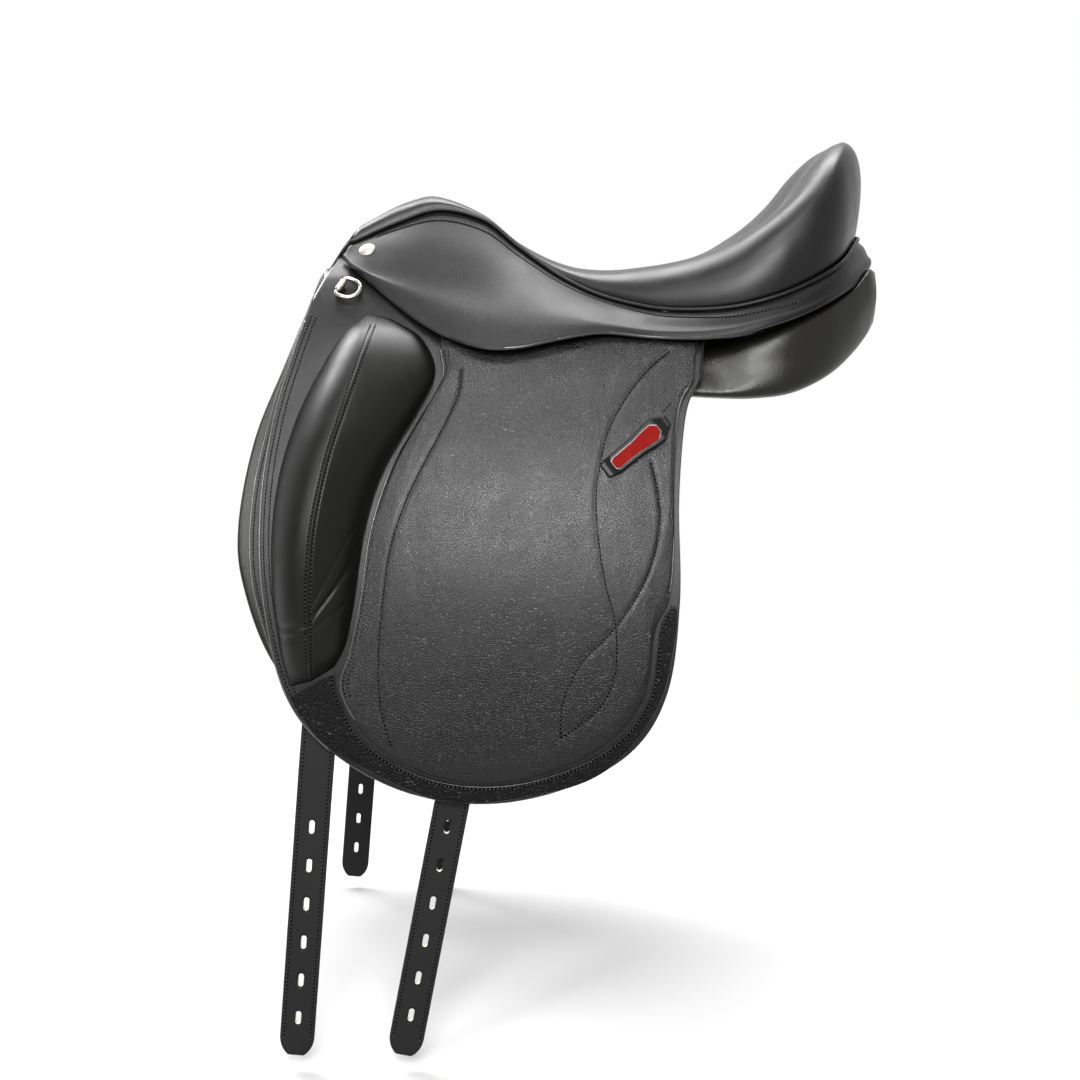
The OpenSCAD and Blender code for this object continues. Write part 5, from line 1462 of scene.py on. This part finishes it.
# %% Girth webs
GIRTH_WEBS = {"front": (-158.0, 67.0, -4.0), "rear": (-38.0, 73.2, 0.0)}
GIRTH_WEB_ACROSS = np.array([-1, -0.97, -0.5, 0, 0.5, 0.97, 1]) * 13
GIRTH_WEB_ROOM = 0.3
GIRTH_WEB_BEND, BEND_SHARE = 18, 0.3
RAIL_TO_WEB = 14.3
girth_parts = []
for which, (pivot, lean) in STRAPS.items():
    top_x, rail_y, shift = GIRTH_WEBS[which]
    head_x = pivot + STRAP_WIDTH / 2 * math.sin(lean)
    head_z = PIVOT_Z + STRAP_WIDTH / 2 + GIRTH_WEB_ROOM
    bend_z = head_z + GIRTH_WEB_BEND
    top_y, top_z = rail_y + RAIL_TO_WEB, float(rail_z(top_x)) + shift
    head_y, bend_y = float(side_y(head_z, STRAP_MIDDLE)), float(side_y(bend_z, STRAP_MIDDLE))
    line = np.array([(head_x, head_y, head_z), (mix(head_x, top_x, BEND_SHARE), bend_y, bend_z),
                     (top_x, mix(top_y, bend_y, 0.5), mix(bend_z, top_z, 0.5)), (top_x, top_y, top_z)])
    path = np.stack([np.interp(np.linspace(0, 3, 25), np.arange(4), line[:, j]) for j in range(3)], 1)
    px = path[:, None, 0] + GIRTH_WEB_ACROSS
    web_face = np.stack([px, -path[:, None, 1] - WEB / 2 + 0 * px, path[:, None, 2] + 0 * px], -1)
    left = thin_sheet("girth_web_" + which, web_face, (0, WEB, 0), JUTE_WEB)
    girth_parts += [left, mirrored(left, "girth_web_right_" + which)]
settle(joined(girth_parts, "girth_web_cloth"), SADDLE, ["girth_webs"])

# %% [markdown]
# ## Stitching
# A saddler sews with two needles: a row of short threads in a pressed groove. Thousands of threads placed
# by hand would be slow, and a texture would lie flat. So every sewn line is a path on the leather, and a
# Geometry Nodes tree lays a matt black tube along it as painted shade for the groove, sets one short thread
# at each step, turned along the line and flat on the leather, and makes the result a plain mesh.

# %% Stitch tree
THREAD_SEGMENTS, THREAD_RINGS = 6, 4
GROOVE_SIDES = 6


def stitch_tree():
    tree = bpy.data.node_groups.new("saddle_stitches", "GeometryNodeTree")
    tree.interface.new_socket("Geometry", in_out="INPUT", socket_type="NodeSocketGeometry")
    for name in ("Pitch", "Length", "Thickness", "Groove Radius"):
        tree.interface.new_socket(name, in_out="INPUT", socket_type="NodeSocketFloat")
    for name in ("Thread", "Groove Shadow"):
        tree.interface.new_socket(name, in_out="INPUT", socket_type="NodeSocketMaterial")
    tree.interface.new_socket("Geometry", in_out="OUTPUT", socket_type="NodeSocketGeometry")
    start = add(tree, "NodeGroupInput")
    path = add(tree, "GeometryNodeMeshToCurve", Mesh=start.outputs["Geometry"])
    even = add(tree, "GeometryNodeResampleCurve", {"mode": "LENGTH"}, Curve=path.outputs[0],
               Length=start.outputs["Pitch"])
    tangent = add(tree, "GeometryNodeInputTangent")
    out = add(tree, "GeometryNodeInputNamedAttribute", {"data_type": "FLOAT_VECTOR"}, Name="leather_normal")
    turned = add(tree, "FunctionNodeAlignRotationToVector", {"axis": "X"}, Vector=tangent.outputs[0])
    laid = add(tree, "FunctionNodeAlignRotationToVector", {"axis": "Z", "pivot_axis": "X"},
               Rotation=turned.outputs[0], Vector=out.outputs["Attribute"])
    ball = add(tree, "GeometryNodeMeshUVSphere", Segments=THREAD_SEGMENTS, Rings=THREAD_RINGS, Radius=0.5)
    size = add(tree, "ShaderNodeCombineXYZ", X=start.outputs["Length"], Y=start.outputs["Thickness"],
               Z=start.outputs["Thickness"])
    stitch = add(tree, "GeometryNodeTransform", Geometry=ball.outputs[0], Scale=size.outputs[0])
    placed = add(tree, "GeometryNodeInstanceOnPoints", Points=even.outputs[0], Instance=stitch.outputs[0],
                 Rotation=laid.outputs[0])
    real = add(tree, "GeometryNodeRealizeInstances", Geometry=placed.outputs[0])
    sewn = add(tree, "GeometryNodeSetMaterial", Geometry=real.outputs[0], Material=start.outputs["Thread"])
    # Painted shade: a matt black tube along the path stands for the shadow in the pressed groove.
    bore = add(tree, "GeometryNodeCurvePrimitiveCircle", Resolution=GROOVE_SIDES,
               Radius=start.outputs["Groove Radius"])
    groove = add(tree, "GeometryNodeCurveToMesh", Curve=path.outputs[0], Profile_Curve=bore.outputs[0])
    pressed = add(tree, "GeometryNodeSetMaterial", Geometry=groove.outputs[0],
                  Material=start.outputs["Groove Shadow"])
    both = add(tree, "GeometryNodeJoinGeometry", Geometry=pressed.outputs[0])
    tree.links.new(sewn.outputs[0], both.inputs[0])
    add(tree, "NodeGroupOutput", in_0=both.outputs[0])
    return tree


STITCH_TREE = stitch_tree()
print("stitch tree", len(STITCH_TREE.nodes), "nodes")

# %% [markdown]
# ## Sewing a row
# The tree gets a bare path with the leather's direction at each point. Its sizes go in by the identifier
# of each socket, and the evaluated result becomes a mesh of its own. Each body has its own stitches, so
# that they move with the leather they hold.

# %% Sewing a row
STITCH_PITCH, STITCH_LENGTH, THREAD_THICK, GROOVE_RADIUS = 3.2, 2.6, 1.1, 0.5


def sew(name, rows):
    """One mesh of stitches along rows of (points, normals), in millimetres."""
    points = np.concatenate([p for p, n in rows])
    normals = np.concatenate([n for p, n in rows])
    edges, first = [], 0
    for p, n in rows:
        edges += [(first + k, first + k + 1) for k in range(len(p) - 1)]
        first += len(p)
    mesh = bpy.data.meshes.new(name + "_path")
    mesh.from_pydata((points * MM).tolist(), edges, [])
    attribute = mesh.attributes.new("leather_normal", "FLOAT_VECTOR", "POINT")
    attribute.data.foreach_set("vector", normals.astype(np.float32).ravel())
    holder = bpy.data.objects.new(name + "_path", mesh)
    bpy.context.scene.collection.objects.link(holder)
    modifier = holder.modifiers.new("stitches", "NODES")
    modifier.node_group = STITCH_TREE
    sockets = {s.name: s.identifier for s in STITCH_TREE.interface.items_tree if s.in_out == "INPUT"}
    for label, value in (("Pitch", STITCH_PITCH * MM), ("Length", STITCH_LENGTH * MM),
                         ("Thickness", THREAD_THICK * MM), ("Groove Radius", GROOVE_RADIUS * MM),
                         ("Thread", WAXED_THREAD), ("Groove Shadow", GROOVE_SHADOW_TUBE)):
        modifier[sockets[label]] = value
    holder.update_tag()
    result = applied(holder)
    result.name = name
    result.shade_smooth()
    bpy.data.objects.remove(holder)
    stitches = bpy.data.objects.new(name, result)
    bpy.context.scene.collection.objects.link(stitches)
    print(name, len(result.polygons), "faces")
    return stitches


def mirror_rows(rows):
    return [(p * FLIP, n * FLIP) for p, n in rows]


def sew_pair(name, rows, body):
    for side, rows_here in (("left", rows), ("right", mirror_rows(rows))):
        stitches = sew(f"{name}_{side}", rows_here)
        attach(stitches, body.replace("SIDE", side))


# %% [markdown]
# ## Sewn rows of the flap
# The cover is sewn down along its edges and along three lines of the pattern, the flap has two rows near
# its front edge, and the knee block one on each side of its seam. Each row is worked out from the form
# that it lies on, so that it neither sinks in nor floats.

# %% Sewn rows of the flap
ROW_STEPS = 200
ROW_LIFT = 0.1
TACK = ([43.5, -21.5], [50.5, -14.5], 8)
COVER_ROWS_FRONT, COVER_ROWS_REAR = (0.055, 0.43), (0.80, 0.985)
FLAP_ROWS = (0.02, 0.34)
STRIP_ROW = (0.01, 0.99)
BLOCK_ROW = (0.05, 0.93)
COVER_INSETS, FLAP_INSETS, STRIP_INSET = (3.0, 6.6), (4.0, 8.0), -2.0
# The first steps of the crossing curve lie above the fold and are sewn with the saddle.
ABOVE_FOLD = 15


def side_normal(flat):
    z = flat[..., 1]
    n = np.stack([0 * z, -side_y(z, 0) / SIDE_HALF_WIDTH ** 2, (z - SIDE_CENTRE) / SIDE_RISE ** 2], -1)
    return n / np.linalg.norm(n, axis=-1)[..., None]


def side_row(flat, depth):
    return on_side(flat, depth), side_normal(flat)


def cover_row(flat, sunk=ROW_LIFT, inset=WELL_INSIDE):
    return side_row(flat, COVER_OUT + cover_rise(flat, np.full(len(flat), inset)) - sunk)


def cover_edge_row(inset, ends):
    return cover_row(offset(COVER_EDGE, inset, *ends), 0.0, inset)


def block_row(shift):
    t = np.linspace(*BLOCK_ROW, ROW_STEPS)
    foot = curve(BLOCK_FRONT if shift < 0 else BLOCK_REAR, t)
    flat, depth = block_place(t, shift / np.linalg.norm(foot - curve(BLOCK_CREST, t), axis=1))
    return side_row(flat, depth - ROW_LIFT)


smooth = np.linspace(0, 1, ROW_STEPS)
flap_rows = [cover_row(curve(INNER_LINE, smooth)), cover_row(curve(CURVE_A, smooth[ABOVE_FOLD:])),
             cover_row(curve(CURVE_B, smooth)), cover_row(np.linspace(*TACK)),
             *(cover_edge_row(inset, COVER_ROWS_FRONT) for inset in COVER_INSETS),
             cover_edge_row(COVER_INSETS[0], COVER_ROWS_REAR),
             side_row(offset(STRIP_INNER, STRIP_INSET, *STRIP_ROW), COVER_IN + STRIP + ROW_LIFT),
             *(side_row(offset(FLAP_EDGE, inset, *FLAP_ROWS), ROW_LIFT) for inset in FLAP_INSETS),
             block_row(-SEAM_HALF), block_row(SEAM_HALF)]
sew_pair("flap_stitches", flap_rows, "flap_SIDE_body")

# %% [markdown]
# ## Sewn rows of the skirt and sweat flap
# A row runs below the seat seam along the skirt and on to the band. The steps of the skirt's grid don't
# lie at one distance from the seam, so the row's place is found between them, column by column.

# %% Sewn rows of the skirt and sweat flap
SKIRT_LINE_DROP = 11.5
SKIRT_LINE_START = 16
SKIRT_LINE_END = 150.0
SKIRT_LINE_LIFT = 0.2
CURVE_A_HEAD = (0, 0.075, 12)
SWEAT_INSET, SWEAT_ROW = 3.5, (0.02, 0.97)


def sewn_below_seam(face, normal, columns):
    """Row of stitches a set way below the upper edge of a grid."""
    down = lengths(face)[0]

    def at(grid, c):
        return [np.interp(SKIRT_LINE_DROP, down[:, c], grid[:, c, k]) for k in range(3)]

    n = np.array([at(normal, c) for c in columns])
    return np.array([at(face, c) for c in columns]) + SKIRT_LINE_LIFT * n, n


front_row = sewn_below_seam(front_face, front_normal, range(SKIRT_LINE_START, front_face.shape[1]))
rear_row = sewn_below_seam(rear_left, rear_normal, np.flatnonzero(rear_left[0, :, 0] < SKIRT_LINE_END))
sweat_row = side_row(offset(SWEAT_EDGE, SWEAT_INSET, *SWEAT_ROW), SWEAT_OUT + ROW_LIFT)
saddle_rows = [front_row, rear_row, sweat_row, cover_row(curve(CURVE_A, np.linspace(*CURVE_A_HEAD)))]
saddle_stitches = sew("saddle_stitches", saddle_rows + mirror_rows(saddle_rows))
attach(saddle_stitches, SADDLE)

# %% [markdown]
# ## Sewn rows of the girth straps
# Each strap is sewn along both edges, which holds the hide to its nylon core. The rows follow the strap's
# own measures, down it and across it, so they lean with it.

# %% Sewn rows of the girth straps
STRAP_ROW_INSET = 3.2
STRAP_ROW_STEPS = 120
for which, (pivot, lean) in STRAPS.items():
    way = np.linspace(0, strap_length(lean) - TIP, STRAP_ROW_STEPS)
    strap_rows = [side_row(strap_frame(pivot, lean, way, shift + 0 * way), STRAP_OUT + ROW_LIFT)
                  for shift in (STRAP_ROW_INSET - STRAP_WIDTH / 2, STRAP_WIDTH / 2 - STRAP_ROW_INSET)]
    sew_pair(f"billet_{which}_stitches", strap_rows, f"billet_{which}_SIDE_body")

# %% [markdown]
# ## Nails and dee rings
# Bright fittings show facets at once, and the solids have few. A Subdivision Surface would round their
# corners away, so the nail heads are turned again from a smooth profile and the dee rings are a smooth
# tube round the same path.

# %% Nails
NAIL_PLACE = np.array([-198.8, -78.5, 107.8])
NAIL_NORMAL = np.array([-0.25, -0.66, 0.71])
NAIL_PROFILE = [(7.5, 0.0), (7.5, 0.8), (6.9, 1.7), (5.6, 2.6), (3.6, 3.4), (1.6, 3.85), (0.05, 4.0)]


def turned(name, profile, centre, axis, material, sides=40, count=24):
    """Smooth turned piece about an axis."""
    axis = axis / np.linalg.norm(axis)
    across = np.cross(axis, [0, 0, 1.0])
    across /= np.linalg.norm(across)
    r, h = curve(profile, np.linspace(0, 1, count)).T
    ring = round_about(across, np.cross(axis, across), sides)
    rings = centre + h[:, None, None] * axis + r[:, None, None] * ring
    return new_piece(name, rings.reshape(-1, 3), ring_faces(count, sides), material)


nail = turned("nail_left_head", NAIL_PROFILE, NAIL_PLACE, NAIL_NORMAL, SATIN_NICKEL)
nails = joined([nail, mirrored(nail, "nail_right_head")], "nail_heads")
settle(nails, SADDLE, ["saddle_nails"])

# %% [markdown]
# A dee is a straight bar with an arc bent over it. Its path is laid out flat first and then turned to its
# place on the skirt.

# %% Dee rings
DEE_ANCHOR = np.array([-218, -107.348, 78.3811])
DEE_AXIS = np.array([-0.422618, -0.612865, -0.667676])
DEE_NORMAL = np.array([0, -0.736698, 0.676221])
DEE_WIDTH, DEE_REACH, DEE_WIRE = 20.0, 17.0, 3.6
DEE_STRAIGHT, DEE_CORNER, DEE_CORNER_END = 2, 0.6, 2.2
dee_half = DEE_WIDTH / 2
dee_out = np.cross(DEE_NORMAL, DEE_AXIS)
bend_at = DEE_REACH - dee_half
dee_flat = [(x, 0.0) for x in np.linspace(-dee_half + DEE_STRAIGHT, dee_half - DEE_STRAIGHT, 9)]
dee_flat += [(dee_half - DEE_CORNER, DEE_CORNER), (dee_half, DEE_CORNER_END)]
dee_flat += [(dee_half * math.cos(a), bend_at + dee_half * math.sin(a)) for a in np.linspace(0, np.pi, 25)]
dee_flat += [(-dee_half, DEE_CORNER_END), (-dee_half + DEE_CORNER, DEE_CORNER)]
dee_path = np.array([DEE_ANCHOR + a * DEE_AXIS + b * dee_out for a, b in dee_flat])
dee = tube("dee_ring_left_wire", dee_path, DEE_WIRE / 2, NICKEL, sides=14, closed=True)
settle_pair(dee, "dee_SIDE_body", ["dee_ring_SIDE"])

# %% [markdown]
# ## Dee loops
# The dee hangs in a loop of round wire wound close, on a leather foot. A real winding would be a spring of
# five turns; seen from outside, a turned profile with a groove for each turn of the wire looks the same.

# %% Dee loops
LOOP_HALF, LOOP_RADIUS, LOOP_WIRE = 5.6, 3.1, 2.2
LOOP_GROOVE, LOOP_SHARPNESS = 0.45, 4
FOOT_RADII = (3.0, 4.6)
FOOT_STEPS = 8
loop_h = np.linspace(-LOOP_HALF, LOOP_HALF, 60)
loop_r = LOOP_RADIUS - LOOP_GROOVE * np.abs(np.sin(np.pi * loop_h / LOOP_WIRE)) ** LOOP_SHARPNESS
loop = turned("dee_staple_left_wire", list(zip(loop_r, loop_h)), DEE_ANCHOR, DEE_AXIS, NICKEL, sides=24,
              count=120)
settle_pair(loop, SADDLE, ["dee_staple_SIDE"])
foot_path = DEE_ANCHOR - np.linspace(LOOP_RADIUS - 1, LOOP_RADIUS + 6, FOOT_STEPS)[:, None] * DEE_NORMAL
foot = tube("dee_foot_left_leather", foot_path, np.linspace(*FOOT_RADII, FOOT_STEPS), STRAP_HIDE, sides=16)
trim_pair(foot, SADDLE)

# %% [markdown]
# ## Metal and moulded parts
# The tree, its plate and bars and the stirrup bars are hidden or nearly so. Their solids are already the
# right shape, so they stay and only get their finishes.

# %% Metal and moulded parts
FINISHES = {"tree_frame": TREE_MOULDING, "head_plate": SPRING_STEEL, "spring_bars": SPRING_STEEL,
            "bar_rivets": SPRING_STEEL}
for side in ("left", "right"):
    FINISHES[f"stirrup_bar_{side}"] = FORGED_STEEL
    FINISHES[f"bar_catch_{side}"] = FORGED_STEEL
for node_name, finish in FINISHES.items():
    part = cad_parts[node_name]
    part.data.materials.clear()
    part.data.materials.append(finish)
print("finished solids", sorted(FINISHES))
